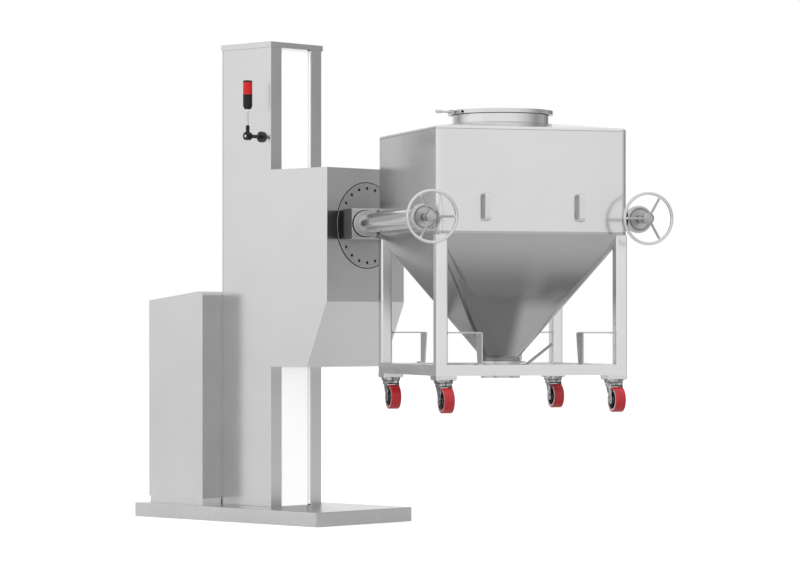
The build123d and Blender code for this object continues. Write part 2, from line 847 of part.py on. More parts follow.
beam_left = on_beam_back(-beam_half_length)
wedge_left_run = (disc_front - beam_left.Y) / backward.Y
wedge_left = beam_left + backward * wedge_left_run
wedge_right_u = (wedge_right - beam_back * backward.X) / across.X
wedge_far = on_beam_back(wedge_right_u)
wedge_corners = [
    (wedge_left.X, disc_front),
    (beam_left.X, beam_left.Y),
    (wedge_far.X, wedge_far.Y),
    (axis_x + wedge_right, disc_front),
]
with BuildPart() as wedge_spacer:
    with BuildSketch(Plane.XY.offset(axis_z - wedge_height / 2)):
        Polygon(*wedge_corners, align=None)
    extrude(amount=wedge_height)
    with BuildSketch(Plane.XY.offset(axis_z - wedge_height / 2 + wedge_wall)):
        Polygon(*wedge_corners, align=None)
        offset(amount=-wedge_wall, kind=Kind.INTERSECTION, mode=Mode.REPLACE)
    extrude(amount=wedge_height - 2 * wedge_wall, mode=Mode.SUBTRACT)
save(wedge_spacer, "wedge_spacer")

# Cross beam with its end caps
with BuildPart() as cross_beam:
    with BuildSketch(sideways(beam_cap - beam_half_length, beam_mid, axis_z)):
        RectangleRounded(beam_depth, beam_height, beam_edge)
        Rectangle(beam_depth - 2 * beam_wall, beam_height - 2 * beam_wall, mode=Mode.SUBTRACT)
    extrude(amount=2 * (beam_half_length - beam_cap))
save(cross_beam, "cross_beam")

with BuildPart() as beam_end_caps:
    for cap_side in (-1, 1):
        with BuildSketch(sideways(cap_side * (beam_half_length - beam_cap / 2), beam_mid, axis_z)):
            RectangleRounded(beam_depth, beam_height, beam_edge)
        extrude(amount=beam_cap / 2, both=True)
        plug_mid = beam_half_length - beam_cap - beam_plug / 2
        with BuildSketch(sideways(cap_side * plug_mid, beam_mid, axis_z)):
            Rectangle(
                beam_depth - 2 * beam_wall - 2 * slide_gap,
                beam_height - 2 * beam_wall - 2 * slide_gap,
            )
        extrude(amount=beam_plug / 2, both=True)
save(beam_end_caps, "beam_end_caps")

# Arm tubes, slotted on the inside for the clamp bars
clamp_slot_height = clamp_height + 4 * slide_gap
clamp_slot_length = clamp_length + 4 * slide_gap
with BuildPart() as arm_tubes:
    for side in (-1, 1):
        with BuildSketch(upright(beam_front, side * arm_u, axis_z)):
            Circle(arm_d / 2)
            Circle(arm_bore / 2, mode=Mode.SUBTRACT)
        extrude(amount=beam_front - arm_end)
        with BuildSketch(upright(clamp_mid_n, side * (arm_u - arm_d / 2), axis_z)):
            Rectangle(arm_d / 2, clamp_slot_height)
        extrude(amount=clamp_slot_length / 2, both=True, mode=Mode.SUBTRACT)
save(arm_tubes, "arm_tubes")

with BuildPart() as arm_collars:
    for side in (-1, 1):
        with BuildSketch(upright(beam_front, side * arm_u, axis_z)):
            Circle(root_collar_d / 2)
            Circle(arm_d / 2, mode=Mode.SUBTRACT)
        extrude(amount=root_collar)
        with BuildSketch(upright(arm_end, side * arm_u, axis_z)):
            Circle(end_collar_d / 2)
            Circle(spindle_d / 2 + turn_gap, mode=Mode.SUBTRACT)
        extrude(amount=end_collar)
    collar_fronts = arm_collars.faces().filter_by(GeomType.PLANE).sort_by(Axis(bin_middle, -backward))[-2:]
    chamfer([face.edges().sort_by(SortBy.RADIUS)[-1] for face in collar_fronts], length=end_collar_edge)
    with BuildSketch(upright(arm_end, 0, axis_z)):
        Rectangle(2 * (arm_u - end_collar_flat), end_collar_d)
    extrude(amount=end_collar, mode=Mode.SUBTRACT)
save(arm_collars, "arm_collars")

# Handwheels on their spindles
for side, side_name, first_spoke in ((-1, "left", 0), (1, "right", 60)):
    wheel_u = side * arm_u
    with BuildPart() as handwheel:
        hub_front_n = wheel_n - hub_front
        hub_profile = [
            (0, hub_front_n),
            (hub_front_d / 2 - hub_dome, hub_front_n),
            (hub_front_d / 2, hub_front_n + hub_dome),
            (hub_front_d / 2, wheel_n + hub_front),
            (hub_back_d / 2, hub_front_n + hub_length),
            (0, hub_front_n + hub_length),
        ]
        with BuildSketch(level(axis_z)):
            Polygon(*[(wheel_u + out, along) for out, along in hub_profile], align=None)
        revolve(axis=Axis(bin_point(wheel_u, wheel_n, axis_z), backward))
        for spoke in range(3):
            angle = radians(first_spoke + 120 * spoke)
            outward = across * cos(angle) + Vector(0, 0, sin(angle))
            with BuildSketch(Plane(bin_point(wheel_u, wheel_n, axis_z), x_dir=backward, z_dir=outward)):
                Circle(spoke_d / 2)
            extrude(amount=wheel_d / 2 - wheel_bar_d / 4)
        with BuildSketch(upright(clamp_mid_n + spindle_end + wedge_travel, wheel_u, axis_z)):
            Circle(spindle_d / 2)
        extrude(amount=clamp_mid_n + spindle_end + wedge_travel - wheel_n)
        joint_way = across * cos(radians(wheel_joint_angle)) + Vector(0, 0, sin(radians(wheel_joint_angle)))
        with Locations(Plane(bin_point(wheel_u, wheel_n, axis_z), x_dir=joint_way, z_dir=backward)):
            Torus(wheel_d / 2, wheel_bar_d / 2)
    save(handwheel, f"{side_name}_handwheel")

# Clamp bars and the wedge nuts that press them out
clamp_slope = clamp_travel / wedge_travel
clamp_face = bin_width / 2 + clamp_touch
slope_high = arm_u - spindle_d / 2 - nut_spare - clamp_travel
slope_low = slope_high - clamp_slope * nut_length
slope_start = slope_low - clamp_travel
nut_front = clamp_mid_n - nut_length / 2
nut_rear = clamp_mid_n + nut_length / 2
bar_front = clamp_mid_n - clamp_length / 2
bar_rear = clamp_mid_n + clamp_length / 2
for side, side_name in ((-1, "left"), (1, "right")):
    with BuildPart() as clamp_bar:
        with BuildSketch(level(axis_z - clamp_height / 2)):
            Polygon(
                (side * clamp_face, bar_front),
                (side * slope_start, bar_front),
                (side * slope_start, nut_front - wedge_travel),
                (side * slope_high, nut_rear),
                (side * slope_start, nut_rear),
                (side * slope_start, bar_rear),
                (side * clamp_face, bar_rear),
                align=None,
            )
        extrude(amount=clamp_height)
    save(clamp_bar, f"{side_name}_clamp_bar")
    with BuildPart() as wedge_nut:
        with BuildSketch(level(axis_z - nut_height / 2)):
            Polygon(
                (side * (slope_low + slide_gap), nut_front),
                (side * (slope_high + slide_gap), nut_rear),
                (side * (arm_u + nut_back), nut_rear),
                (side * (arm_u + nut_back), nut_front),
                align=None,
            )
        extrude(amount=nut_height)
        with BuildSketch(upright(nut_rear, side * arm_u, axis_z)):
            Circle(spindle_d / 2 + slide_gap)
        extrude(amount=nut_length, mode=Mode.SUBTRACT)
    save(wedge_nut, f"{side_name}_wedge_nut")

# Bin shell: hopper, upright walls, low roof and neck
near_round = 0.5


def near_circle(diameter):
    """Circle drawn as a square with full corners, so that it lofts cleanly to the square bin."""
    RectangleRounded(diameter, diameter, diameter / 2 - near_round)


def hopper_solid(shrink):
    """The hopper's outer form, made smaller by shrink all round."""
    with BuildPart() as hopper:
        with BuildSketch(level(outlet_z)):
            near_circle(outlet_d - 2 * shrink)
        with BuildSketch(level(bin_seam)):
            RectangleRounded(bin_width - 2 * shrink, bin_width - 2 * shrink, bin_corner - shrink)
        loft()
    return hopper.part


def upper_solid(shrink, roof_drop):
    """The upright walls and the low roof, made smaller by shrink and lower by roof_drop."""
    with BuildPart() as upper:
        with BuildSketch(level(bin_seam)):
            RectangleRounded(bin_width - 2 * shrink, bin_width - 2 * shrink, bin_corner - shrink)
        extrude(amount=bin_wall_top - bin_seam - roof_drop)
        with BuildSketch(level(bin_wall_top - roof_drop)):
            RectangleRounded(bin_width - 2 * shrink, bin_width - 2 * shrink, bin_corner - shrink)
        with BuildSketch(level(neck_base - roof_drop)):
            near_circle(neck_d - 2 * shrink)
        loft()
        eaves_z = bin_wall_top - roof_drop
        eaves = upper.edges().filter_by_position(Axis.Z, eaves_z - slide_gap, eaves_z + slide_gap)
        fillet(eaves, radius=roof_edge - shrink)
    return upper.part


hopper_outside = hopper_solid(0)
upper_outside = upper_solid(0, 0)
hopper_inside = hopper_solid(bin_wall)
upper_inside = upper_solid(bin_wall, bin_wall)
hopper_clearance = hopper_solid(-slide_gap)

with BuildPart() as bin_inside:
    add(hopper_inside)
    add(upper_inside)
    with BuildSketch(level(neck_base - 4 * bin_wall)):
        Circle(neck_d / 2 - neck_wall)
    extrude(amount=neck_top - neck_base + 6 * bin_wall)
    with BuildSketch(level(outlet_z - bin_wall)):
        Circle(valve_bore / 2)
    extrude(amount=4 * bin_wall)

with BuildPart() as bin_shell:
    add(hopper_outside)
    add(upper_outside)
    with BuildSketch(level(neck_base - bin_wall)):
        Circle(neck_d / 2)
    extrude(amount=neck_top - neck_base + bin_wall)
    with BuildSketch(level(neck_top - rim_thick)):
        Circle(rim_d / 2)
    extrude(amount=rim_thick)
    add(bin_inside.part, mode=Mode.SUBTRACT)
save(bin_shell, "bin_shell")

# Bin frame: corner legs cut to the hopper, lower rails
with BuildPart() as bin_frame:
    with BuildSketch(level(rail_low)):
        with GridLocations(2 * leg_mid, 2 * leg_mid, 2, 2):
            RectangleRounded(leg, leg, leg_round)
    extrude(amount=bin_seam - leg_end_gap - rail_low)
    rail_mid = (bin_width - rail_width) / 2
    with BuildSketch(level(rail_low)):
        with Locations((0, rail_mid), (0, -rail_mid)):
            Rectangle(2 * leg_mid, rail_width)
        with Locations((rail_mid, 0), (-rail_mid, 0)):
            Rectangle(rail_width, 2 * leg_mid)
    extrude(amount=rail_height)
    with BuildSketch(level(rail_low + leg_wall)):
        with GridLocations(2 * leg_mid, 2 * leg_mid, 2, 2):
            Rectangle(leg - 2 * leg_wall, leg - 2 * leg_wall)
    extrude(amount=bin_seam - rail_low, mode=Mode.SUBTRACT)
    with BuildSketch(level(rail_low + rail_wall)):
        with Locations((0, rail_mid), (0, -rail_mid)):
            Rectangle(2 * leg_mid - leg - 2 * rail_wall, rail_width - 2 * rail_wall)
        with Locations((rail_mid, 0), (-rail_mid, 0)):
            Rectangle(rail_width - 2 * rail_wall, 2 * leg_mid - leg - 2 * rail_wall)
    extrude(amount=rail_height - 2 * rail_wall, mode=Mode.SUBTRACT)
    add(hopper_clearance, mode=Mode.SUBTRACT)
save(bin_frame, "bin_frame")

# Fork guides: tapered flat bar bent out from each leg and down to the rail
guide_low = rail_low + rail_height
guide_high = guide_low + guide_height
leg_face = leg_mid - leg / 2
guide_end = leg_face - guide_reach
with BuildPart() as fork_guides:
    for side in (-1, 1):
        with BuildSketch(upright(bin_width / 2, 0, 0)) as guide_outline:
            Polygon(
                (side * leg_face, guide_high),
                (side * guide_end, guide_high),
                (side * guide_end, guide_low),
                (side * (guide_end + guide_foot), guide_low),
                (side * (guide_end + guide_foot), guide_low + guide_bar),
                (side * (guide_end + guide_bar), guide_low + guide_bar),
                (side * (guide_end + guide_bar), guide_high - guide_bar),
                (side * leg_face, guide_high - guide_bar),
                align=None,
            )
            fillet(guide_outline.vertices().sort_by_distance((0, guide_high, 0))[0], guide_round)
        extrude(amount=bin_width)
    with BuildSketch(sideways(-leg_face, 0, 0)):
        Polygon(
            (guide_depth - bin_width / 2, guide_high),
            (guide_depth_low - bin_width / 2, guide_low),
            (bin_width / 2 - guide_depth_low, guide_low),
            (bin_width / 2 - guide_depth, guide_high),
            align=None,
        )
    extrude(amount=2 * leg_face, mode=Mode.SUBTRACT)
save(fork_guides, "fork_guides")

# Bow handles of flat bar on the front wall
with BuildPart() as bin_handles:
    for side in (-1, 1):
        with BuildLine():
            bow = FilletPolyline(
                bin_point(side * handle_u, -bin_width / 2, handle_z + handle_height / 2),
                bin_point(side * handle_u, -bin_width / 2 - handle_reach, handle_z + handle_height / 2),
                bin_point(side * handle_u, -bin_width / 2 - handle_reach, handle_z - handle_height / 2),
                bin_point(side * handle_u, -bin_width / 2, handle_z - handle_height / 2),
                radius=handle_bend,
            )
        with BuildSketch(upright(-bin_width / 2, side * handle_u, handle_z + handle_height / 2)):
            Rectangle(handle_width, handle_thick)
        sweep(path=bow)
save(bin_handles, "bin_handles")

# Valve body under the hopper
valve_top = outlet_z - slide_gap
with BuildPart() as valve_body:
    with BuildSketch(level(valve_low)):
        Circle(valve_bore / 2 + valve_wall)
    extrude(amount=valve_top - valve_low)
    with BuildSketch(level(valve_low)):
        Circle(valve_flange_d / 2)
    extrude(amount=valve_flange)
    with BuildSketch(level(valve_ring_z)):
        Circle(valve_flange_d / 2)
    extrude(amount=valve_ring)
    with BuildSketch(sideways(-valve_boss_u, 0, valve_axis_z)):
        Circle(valve_boss_d / 2)
    extrude(amount=2 * valve_boss_u)
    with BuildSketch(level(valve_low)):
        Circle(valve_bore / 2)
    extrude(amount=valve_top - valve_low, mode=Mode.SUBTRACT)
    with BuildSketch(sideways(-valve_boss_u, 0, valve_axis_z)):
        Circle(valve_shaft_d / 2 + turn_gap)
    extrude(amount=2 * valve_boss_u, mode=Mode.SUBTRACT)
save(valve_body, "valve_body")

with BuildPart() as valve_disc:
    with BuildSketch(level(valve_axis_z - valve_disc_thick / 2)):
        Circle(valve_bore / 2 - valve_disc_gap)
    extrude(amount=valve_disc_thick)
    chamfer(valve_disc.edges().filter_by(GeomType.CIRCLE), length=valve_disc_thick / 3)
    with BuildSketch(sideways(-valve_boss_u, 0, valve_axis_z)):
        Circle(valve_shaft_d / 2)
    extrude(amount=2 * valve_boss_u + lever_hub)
save(valve_disc, "valve_disc")

lever_start = valve_boss_u + lever_hub / 2
with BuildPart() as valve_lever:
    with BuildSketch(sideways(valve_boss_u + slide_gap, 0, valve_axis_z)):
        Circle(valve_boss_d / 2)
    extrude(amount=lever_hub - slide_gap)
    lever_way = across * lever_run + Vector(0, 0, lever_rise)
    with BuildSketch(Plane(bin_point(lever_start, 0, valve_axis_z), x_dir=backward, z_dir=lever_way)):
        Circle(lever_rod_d / 2)
    extrude(amount=hypot(lever_run, lever_rise))
    fillet(valve_lever.edges().group_by(Axis.Z)[-1], radius=lever_rod_d / 3)
    with BuildSketch(sideways(valve_boss_u, 0, valve_axis_z)):
        Circle(valve_shaft_d / 2)
    extrude(amount=lever_hub, mode=Mode.SUBTRACT)
save(valve_lever, "valve_lever")

# Lid, gasket and band clamp
lid_low = neck_top + gasket_thick
with BuildPart() as lid_gasket:
    with BuildSketch(level(neck_top)):
        Circle(rim_d / 2)
        Circle(neck_d / 2 - neck_wall, mode=Mode.SUBTRACT)
    extrude(amount=gasket_thick)
save(lid_gasket, "lid_gasket")

lid_axis = Axis(bin_middle, (0, 0, 1))
dome_r = dome_d / 2
dome_outer = lid_rise - 2 * lid_edge
dome_inner = lid_rise - lid_sheet


def dome_drop(rise):
    """How far a shallow dome of this rise falls halfway to its edge."""
    bend = (dome_r**2 + rise**2) / (2 * rise)
    return bend - (bend**2 - (dome_r / 2) ** 2) ** 0.5


with BuildPart() as bin_lid:
    with BuildSketch(sideways(0)):
        with BuildLine():
            Line((0, lid_low + dome_inner), (0, lid_low + lid_rise))
            ThreePointArc(
                (0, lid_low + lid_rise),
                (dome_r / 2, lid_low + lid_rise - dome_drop(dome_outer)),
                (dome_r, lid_low + lid_rise - dome_outer),
            )
            Polyline(
                (dome_r, lid_low + lid_rise - dome_outer),
                (neck_d / 2, lid_low + lid_edge),
                (rim_d / 2, lid_low + lid_edge),
                (rim_d / 2, lid_low),
                (dome_r, lid_low),
            )
            ThreePointArc(
                (dome_r, lid_low),
                (dome_r / 2, lid_low + dome_inner - dome_drop(dome_inner)),
                (0, lid_low + dome_inner),
            )
        make_face()
    revolve(axis=lid_axis)
save(bin_lid, "bin_lid")

band_top = lid_low + lid_edge
lever_pin_r = band_d / 2 + band_low
lever_out = Vector(cos(radians(lever_angle)), sin(radians(lever_angle)))
bar_way = across * lever_out.X + backward * lever_out.Y
bar_start = bin_point(lever_out.X * lever_pin_r, lever_out.Y * lever_pin_r, neck_top)
lever_pin_plane = Plane(bar_start, x_dir=(0, 0, 1), z_dir=(-bar_way.Y, bar_way.X, 0))
with BuildPart() as lid_band:
    with BuildSketch(level(neck_top - band_low)):
        Circle(band_d / 2)
        Circle(rim_d / 2 + slide_gap, mode=Mode.SUBTRACT)
    extrude(amount=band_top - neck_top + band_low)
    with BuildSketch(level(band_top)):
        Circle(band_d / 2)
        Circle(rim_d / 2 - 3 * band_lip, mode=Mode.SUBTRACT)
    extrude(amount=band_lip)
    with BuildSketch(level(neck_top - band_low)):
        with Locations((lever_out.X * band_d / 2, lever_out.Y * band_d / 2)):
            Rectangle(band_d / 4, band_slit, rotation=lever_angle)
    extrude(amount=2 * (band_top - neck_top + band_low), mode=Mode.SUBTRACT)
    with BuildSketch(level(neck_top - band_low)):
        for lug_side in (-1, 1):
            lug_turn = radians(lever_angle) + lug_side * (band_slit + lug_size) / band_d
            lug_reach = band_d / 2 + lug_size - lug_sink
            with Locations((cos(lug_turn) * lug_reach, sin(lug_turn) * lug_reach)):
                Rectangle(2 * lug_size, lug_size, rotation=lever_angle)
    extrude(amount=band_top - neck_top + band_low)
    with BuildSketch(lever_pin_plane):
        Circle(lever_pin_d / 2 + turn_gap)
    extrude(amount=band_slit / 2 + 2 * lug_size, both=True, mode=Mode.SUBTRACT)
save(lid_band, "lid_band")

with BuildPart() as lid_lever:
    lever_block_plane = level(
        neck_top - band_low + slide_gap,
        lever_out.X * (lever_pin_r + band_low),
        lever_out.Y * (lever_pin_r + band_low),
    )
    with BuildSketch(lever_block_plane):
        Rectangle(lever_block, band_slit - 2 * slide_gap, rotation=lever_angle)
    extrude(amount=band_top - neck_top + band_low)
    with BuildSketch(Plane(bar_start, x_dir=(0, 0, 1), z_dir=bar_way)):
        Circle(lever_bar_d / 2)
    extrude(amount=lever_length + lever_block)
    grip_start = lever_pin_r + lever_length + lever_block - lever_grip
    with BuildSketch(Plane(bar_start + bar_way * (grip_start - lever_pin_r), x_dir=(0, 0, 1), z_dir=bar_way)):
        Circle(lever_grip_d / 2)
    extrude(amount=lever_grip)
    fillet(lid_lever.edges().filter_by(GeomType.CIRCLE).sort_by(Axis(bar_start, bar_way))[-1], radius=lever_bar_d / 3)
    with BuildSketch(lever_pin_plane):
        Circle(lever_pin_d / 2)
    extrude(amount=band_slit / 2 + lug_size, both=True)
save(lid_lever, "lid_lever")

# Caster mounting plates under the bin's corners
with BuildPart() as caster_plates:
    with BuildSketch(level(rail_low - caster_plate)):
        plate_span = bin_width - caster_plate_size
        with GridLocations(plate_span, plate_span, 2, 2):
            RectangleRounded(caster_plate_size, caster_plate_size, caster_plate_round)
    extrude(amount=caster_plate)
save(caster_plates, "caster_plates")

# Casters: fork with its axle, rim and tyre at each corner
fork_top = rail_low - caster_plate - slide_gap
fork_inner = caster_width / 2 + fork_gap
corners = (
    ("front_left", -1, -1),
    ("front_right", 1, -1),
    ("rear_left", -1, 1),
    ("rear_right", 1, 1),
)
for corner, side_u, side_n in corners:
    pivot_u = side_u * caster_u
    pivot_n = side_n * caster_n
    axle_n = pivot_n - caster_trail
    with BuildPart() as caster_fork:
        with BuildSketch(level(fork_top - fork_head, pivot_u, pivot_n)):
            Circle(fork_head_d / 2)
        extrude(amount=fork_head)
        crown_low = caster_axle_z + caster_d / 2 + fork_gap
        with BuildSketch(level(crown_low, pivot_u, pivot_n)):
            Rectangle(2 * (fork_inner + fork_sheet), fork_crown)
        extrude(amount=fork_top - fork_head - crown_low)
        for leg_side in (-1, 1):
            leg_plane = sideways(pivot_u + leg_side * (fork_inner + fork_sheet / 2), 0, 0)
            with BuildSketch(leg_plane):
                with BuildLine():
                    Polyline(
                        (pivot_n - fork_crown / 2, fork_top - fork_head),
                        (axle_n - fork_leg / 2, caster_axle_z),
                        (axle_n, caster_axle_z - fork_leg / 2),
                        (axle_n + fork_leg / 2, caster_axle_z),
                        (pivot_n + fork_crown / 2, fork_top - fork_head),
                        close=True,
                    )
                make_face()
                with Locations((axle_n, caster_axle_z)):
                    Circle(fork_leg / 2)
            extrude(amount=fork_sheet / 2, both=True)
        axle_reach = fork_inner + fork_sheet
        with BuildSketch(sideways(pivot_u, axle_n, caster_axle_z)):
            Circle(axle_d / 2)
        extrude(amount=axle_reach, both=True)
        for leg_side in (-1, 1):
            with BuildSketch(sideways(pivot_u + leg_side * (axle_reach + axle_head / 2), axle_n, caster_axle_z)):
                RegularPolygon(axle_head_d / 2, 6)
            extrude(amount=axle_head / 2, both=True)
    save(caster_fork, f"{corner}_caster_fork")

    caster_rim_d = caster_d - 2 * tyre_thick
    with BuildPart() as caster_rim:
        with BuildSketch(sideways(pivot_u, axle_n, caster_axle_z)):
            Circle(caster_rim_d / 2)
            Circle(caster_rim_d / 2 - rim_lip, mode=Mode.SUBTRACT)
        extrude(amount=caster_width / 2, both=True)
        with BuildSketch(sideways(pivot_u, axle_n, caster_axle_z)):
            Circle(caster_rim_d / 2)
            with PolarLocations(rim_hole_circle_d / 2, rim_holes):
                Circle(rim_hole_d / 2, mode=Mode.SUBTRACT)
        extrude(amount=rim_web / 2, both=True)
        with BuildSketch(sideways(pivot_u, axle_n, caster_axle_z)):
            Circle(rim_hub_d / 2)
        extrude(amount=fork_inner - slide_gap, both=True)
        with BuildSketch(sideways(pivot_u, axle_n, caster_axle_z)):
            Circle(axle_d / 2 + turn_gap)
        extrude(amount=fork_inner, both=True, mode=Mode.SUBTRACT)
    save(caster_rim, f"{corner}_caster_rim")

    with BuildPart() as caster_tyre:
        with BuildSketch(sideways(pivot_u, axle_n, caster_axle_z)):
            Circle(caster_d / 2)
            Circle(caster_rim_d / 2, mode=Mode.SUBTRACT)
        extrude(amount=caster_width / 2, both=True)
        tread_edges = caster_tyre.edges().filter_by(GeomType.CIRCLE).sort_by(SortBy.RADIUS)[-2:]
        fillet(tread_edges, radius=tyre_thick / 3)
    save(caster_tyre, f"{corner}_caster_tyre")
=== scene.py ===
import json
import math

import bmesh
import bpy
from mathutils import Matrix, Vector


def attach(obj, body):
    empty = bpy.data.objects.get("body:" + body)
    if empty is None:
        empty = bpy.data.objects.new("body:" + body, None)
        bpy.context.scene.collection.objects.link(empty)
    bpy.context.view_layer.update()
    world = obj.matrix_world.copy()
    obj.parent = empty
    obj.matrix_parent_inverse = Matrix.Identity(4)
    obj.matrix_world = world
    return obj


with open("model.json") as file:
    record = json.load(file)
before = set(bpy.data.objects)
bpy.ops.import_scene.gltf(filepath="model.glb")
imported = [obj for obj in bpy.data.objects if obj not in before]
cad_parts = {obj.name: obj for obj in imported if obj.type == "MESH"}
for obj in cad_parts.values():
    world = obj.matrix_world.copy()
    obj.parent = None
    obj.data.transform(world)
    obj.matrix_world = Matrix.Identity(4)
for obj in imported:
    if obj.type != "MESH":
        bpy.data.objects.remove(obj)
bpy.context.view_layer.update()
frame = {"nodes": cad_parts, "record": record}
nodes = frame["nodes"]

# Camera, in metres and pixels of the 800 x 571 view
VIEW_WIDTH = 800
VIEW_HEIGHT = 571
FOCAL_PX = 3104.9
CAMERA_AT = (-11.700, -12.053, 1.0426)
CAMERA_AZIMUTH = -46.40
AXIS_PX = (393.6, 325.7)

# Mast and floor plate, in metres
MAST_LEFT = -0.160
MAST_RIGHT = 0.224
MAST_FRONT = -0.1585
MAST_BACK = 0.2165
MAST_TOP = 2.557
SLOT_LEFT = -0.078
SLOT_RIGHT = 0.142
BASE_TOP = 0.076

# Signal lamp: the pole's axis and the bracket's height
LAMP_X = -0.265
LAMP_Y = -0.091
LAMP_Z = 2.052

# Turning disc and the two arms, which lie ARM_U to either side of the bin's middle
ARM_Z = 1.574
ARM_U = 0.5622
DISC_AT = Vector((0.135, -0.585, ARM_Z))

# The bin's own directions: across the arms, backward along them, and up
BIN_MIDDLE = Vector((0.135, -1.533, 0.0))
SKEW = math.radians(29.5)
ACROSS = Vector((math.cos(SKEW), -math.sin(SKEW), 0.0))
BACKWARD = Vector((math.sin(SKEW), math.cos(SKEW), 0.0))
UP = Vector((0.0, 0.0, 1.0))
CORNERS = (("front_left", -1, -1), ("front_right", 1, -1), ("rear_left", -1, 1), ("rear_right", 1, 1))


def bin_point(u, n, z):
    """Point u across, n backward and z up from the floor under the bin's middle."""
    return BIN_MIDDLE + ACROSS * u + BACKWARD * n + UP * z


# Helpers for shader nodes

def place(tree, kind, x, y, label=None, **settings):
    node = tree.nodes.new(kind)
    node.location = (x, y)
    if label:
        node.label = label
    for key, value in settings.items():
        setattr(node, key, value)
    return node


def new_group(name, inputs, outputs):
    group = bpy.data.node_groups.new(name, "ShaderNodeTree")
    for title, kind, default in inputs:
        socket = group.interface.new_socket(name=title, in_out="INPUT", socket_type=kind)
        socket.default_value = default
    for title, kind in outputs:
        group.interface.new_socket(name=title, in_out="OUTPUT", socket_type=kind)
    return group


def multiply_colors(tree, x, y, first, second, factor=None):
    """Product of two colors, or a share of it given by a factor."""
    mix = place(tree, "ShaderNodeMix", x, y, data_type="RGBA", blend_type="MULTIPLY")
    mix.inputs["Factor"].default_value = 1.0
    if factor:
        tree.links.new(factor, mix.inputs["Factor"])
    tree.links.new(first, mix.inputs["A"])
    tree.links.new(second, mix.inputs["B"])
    return mix.outputs["Result"]


# Effects that several finishes share

def satin_grain_group():
    """Fine uneven sheen of blasted or brushed sheet: a roughness, a tone and a height."""
    grain_share = 0.35
    cloud_low, cloud_high, cloud_light = 0.3, 0.7, 1.02
    group = new_group(
        "satin grain",
        [
            ("Position", "NodeSocketVector", (0, 0, 0)),
            ("Grain Size", "NodeSocketFloat", 900.0),
            ("Roughness", "NodeSocketFloat", 0.35),
            ("Unevenness", "NodeSocketFloat", 0.06),
            ("Color", "NodeSocketColor", (0.7, 0.7, 0.7, 1)),
            ("Cloud Size", "NodeSocketFloat", 3.2),
            ("Cloud Dark", "NodeSocketFloat", 0.965),
        ],
        [("Color", "NodeSocketColor"), ("Roughness", "NodeSocketFloat"), ("Height", "NodeSocketFloat")],
    )
    links = group.links
    entry = place(group, "NodeGroupInput", -900, 0)
    leave = place(group, "NodeGroupOutput", 700, 0)
    grain = place(group, "ShaderNodeTexNoise", -600, 200, "grain")
    grain.inputs["Detail"].default_value = 3.0
    links.new(entry.outputs["Position"], grain.inputs["Vector"])
    links.new(entry.outputs["Grain Size"], grain.inputs["Scale"])
    cloud = place(group, "ShaderNodeTexNoise", -600, -100, "handling clouds and painted chrome reflections")
    cloud.inputs["Detail"].default_value = 4.0
    links.new(entry.outputs["Position"], cloud.inputs["Vector"])
    links.new(entry.outputs["Cloud Size"], cloud.inputs["Scale"])

    blend = place(group, "ShaderNodeMath", -350, 60, operation="MULTIPLY_ADD")
    links.new(grain.outputs["Fac"], blend.inputs[0])
    blend.inputs[1].default_value = grain_share
    links.new(cloud.outputs["Fac"], blend.inputs[2])
    centre = place(group, "ShaderNodeMath", -180, 60, operation="SUBTRACT")
    links.new(blend.outputs[0], centre.inputs[0])
    centre.inputs[1].default_value = (1 + grain_share) / 2
    rough = place(group, "ShaderNodeMath", 0, 160, operation="MULTIPLY_ADD")
    links.new(centre.outputs[0], rough.inputs[0])
    links.new(entry.outputs["Unevenness"], rough.inputs[1])
    links.new(entry.outputs["Roughness"], rough.inputs[2])

    shade = place(group, "ShaderNodeMapRange", 0, -60)
    links.new(cloud.outputs["Fac"], shade.inputs["Value"])
    shade.inputs["From Min"].default_value = cloud_low
    shade.inputs["From Max"].default_value = cloud_high
    links.new(entry.outputs["Cloud Dark"], shade.inputs["To Min"])
    shade.inputs["To Max"].default_value = cloud_light
    tone = multiply_colors(group, 250, -60, entry.outputs["Color"], shade.outputs["Result"])
    links.new(tone, leave.inputs["Color"])
    links.new(rough.outputs[0], leave.inputs["Roughness"])
    links.new(grain.outputs["Fac"], leave.inputs["Height"])
    return group


def edge_highlight_group():
    """Edges painted brighter, a painted highlight, found from how far a rounded normal leaves the true one.
    """
    highlight_tone = (0.95, 0.95, 0.95, 1)
    full_turn, no_turn = 0.7, 0.99
    group = new_group(
        "painted edge highlight",
        [
            ("Color", "NodeSocketColor", (0.7, 0.7, 0.7, 1)),
            ("Edge Width", "NodeSocketFloat", 0.004),
            ("Gain", "NodeSocketFloat", 0.25),
        ],
        [("Color", "NodeSocketColor")],
    )
    links = group.links
    entry = place(group, "NodeGroupInput", -900, 0)
    leave = place(group, "NodeGroupOutput", 500, 0)
    bevel = place(group, "ShaderNodeBevel", -650, -100, samples=4)
    links.new(entry.outputs["Edge Width"], bevel.inputs["Radius"])
    geometry = place(group, "ShaderNodeNewGeometry", -650, -300)
    dot = place(group, "ShaderNodeVectorMath", -430, -200, operation="DOT_PRODUCT")
    links.new(bevel.outputs["Normal"], dot.inputs[0])
    links.new(geometry.outputs["Normal"], dot.inputs[1])
    mask = place(group, "ShaderNodeMapRange", -230, -200)
    links.new(dot.outputs["Value"], mask.inputs["Value"])
    mask.inputs["From Min"].default_value = full_turn
    mask.inputs["From Max"].default_value = no_turn
    mask.inputs["To Min"].default_value = 1.0
    mask.inputs["To Max"].default_value = 0.0
    amount = place(group, "ShaderNodeMath", -40, -200, operation="MULTIPLY")
    links.new(mask.outputs["Result"], amount.inputs[0])
    links.new(entry.outputs["Gain"], amount.inputs[1])
    lift = place(group, "ShaderNodeMix", 200, 60, data_type="RGBA", blend_type="MIX")
    links.new(amount.outputs[0], lift.inputs["Factor"])
    links.new(entry.outputs["Color"], lift.inputs["A"])
    lift.inputs["B"].default_value = highlight_tone
    links.new(lift.outputs["Result"], leave.inputs["Color"])
    return group


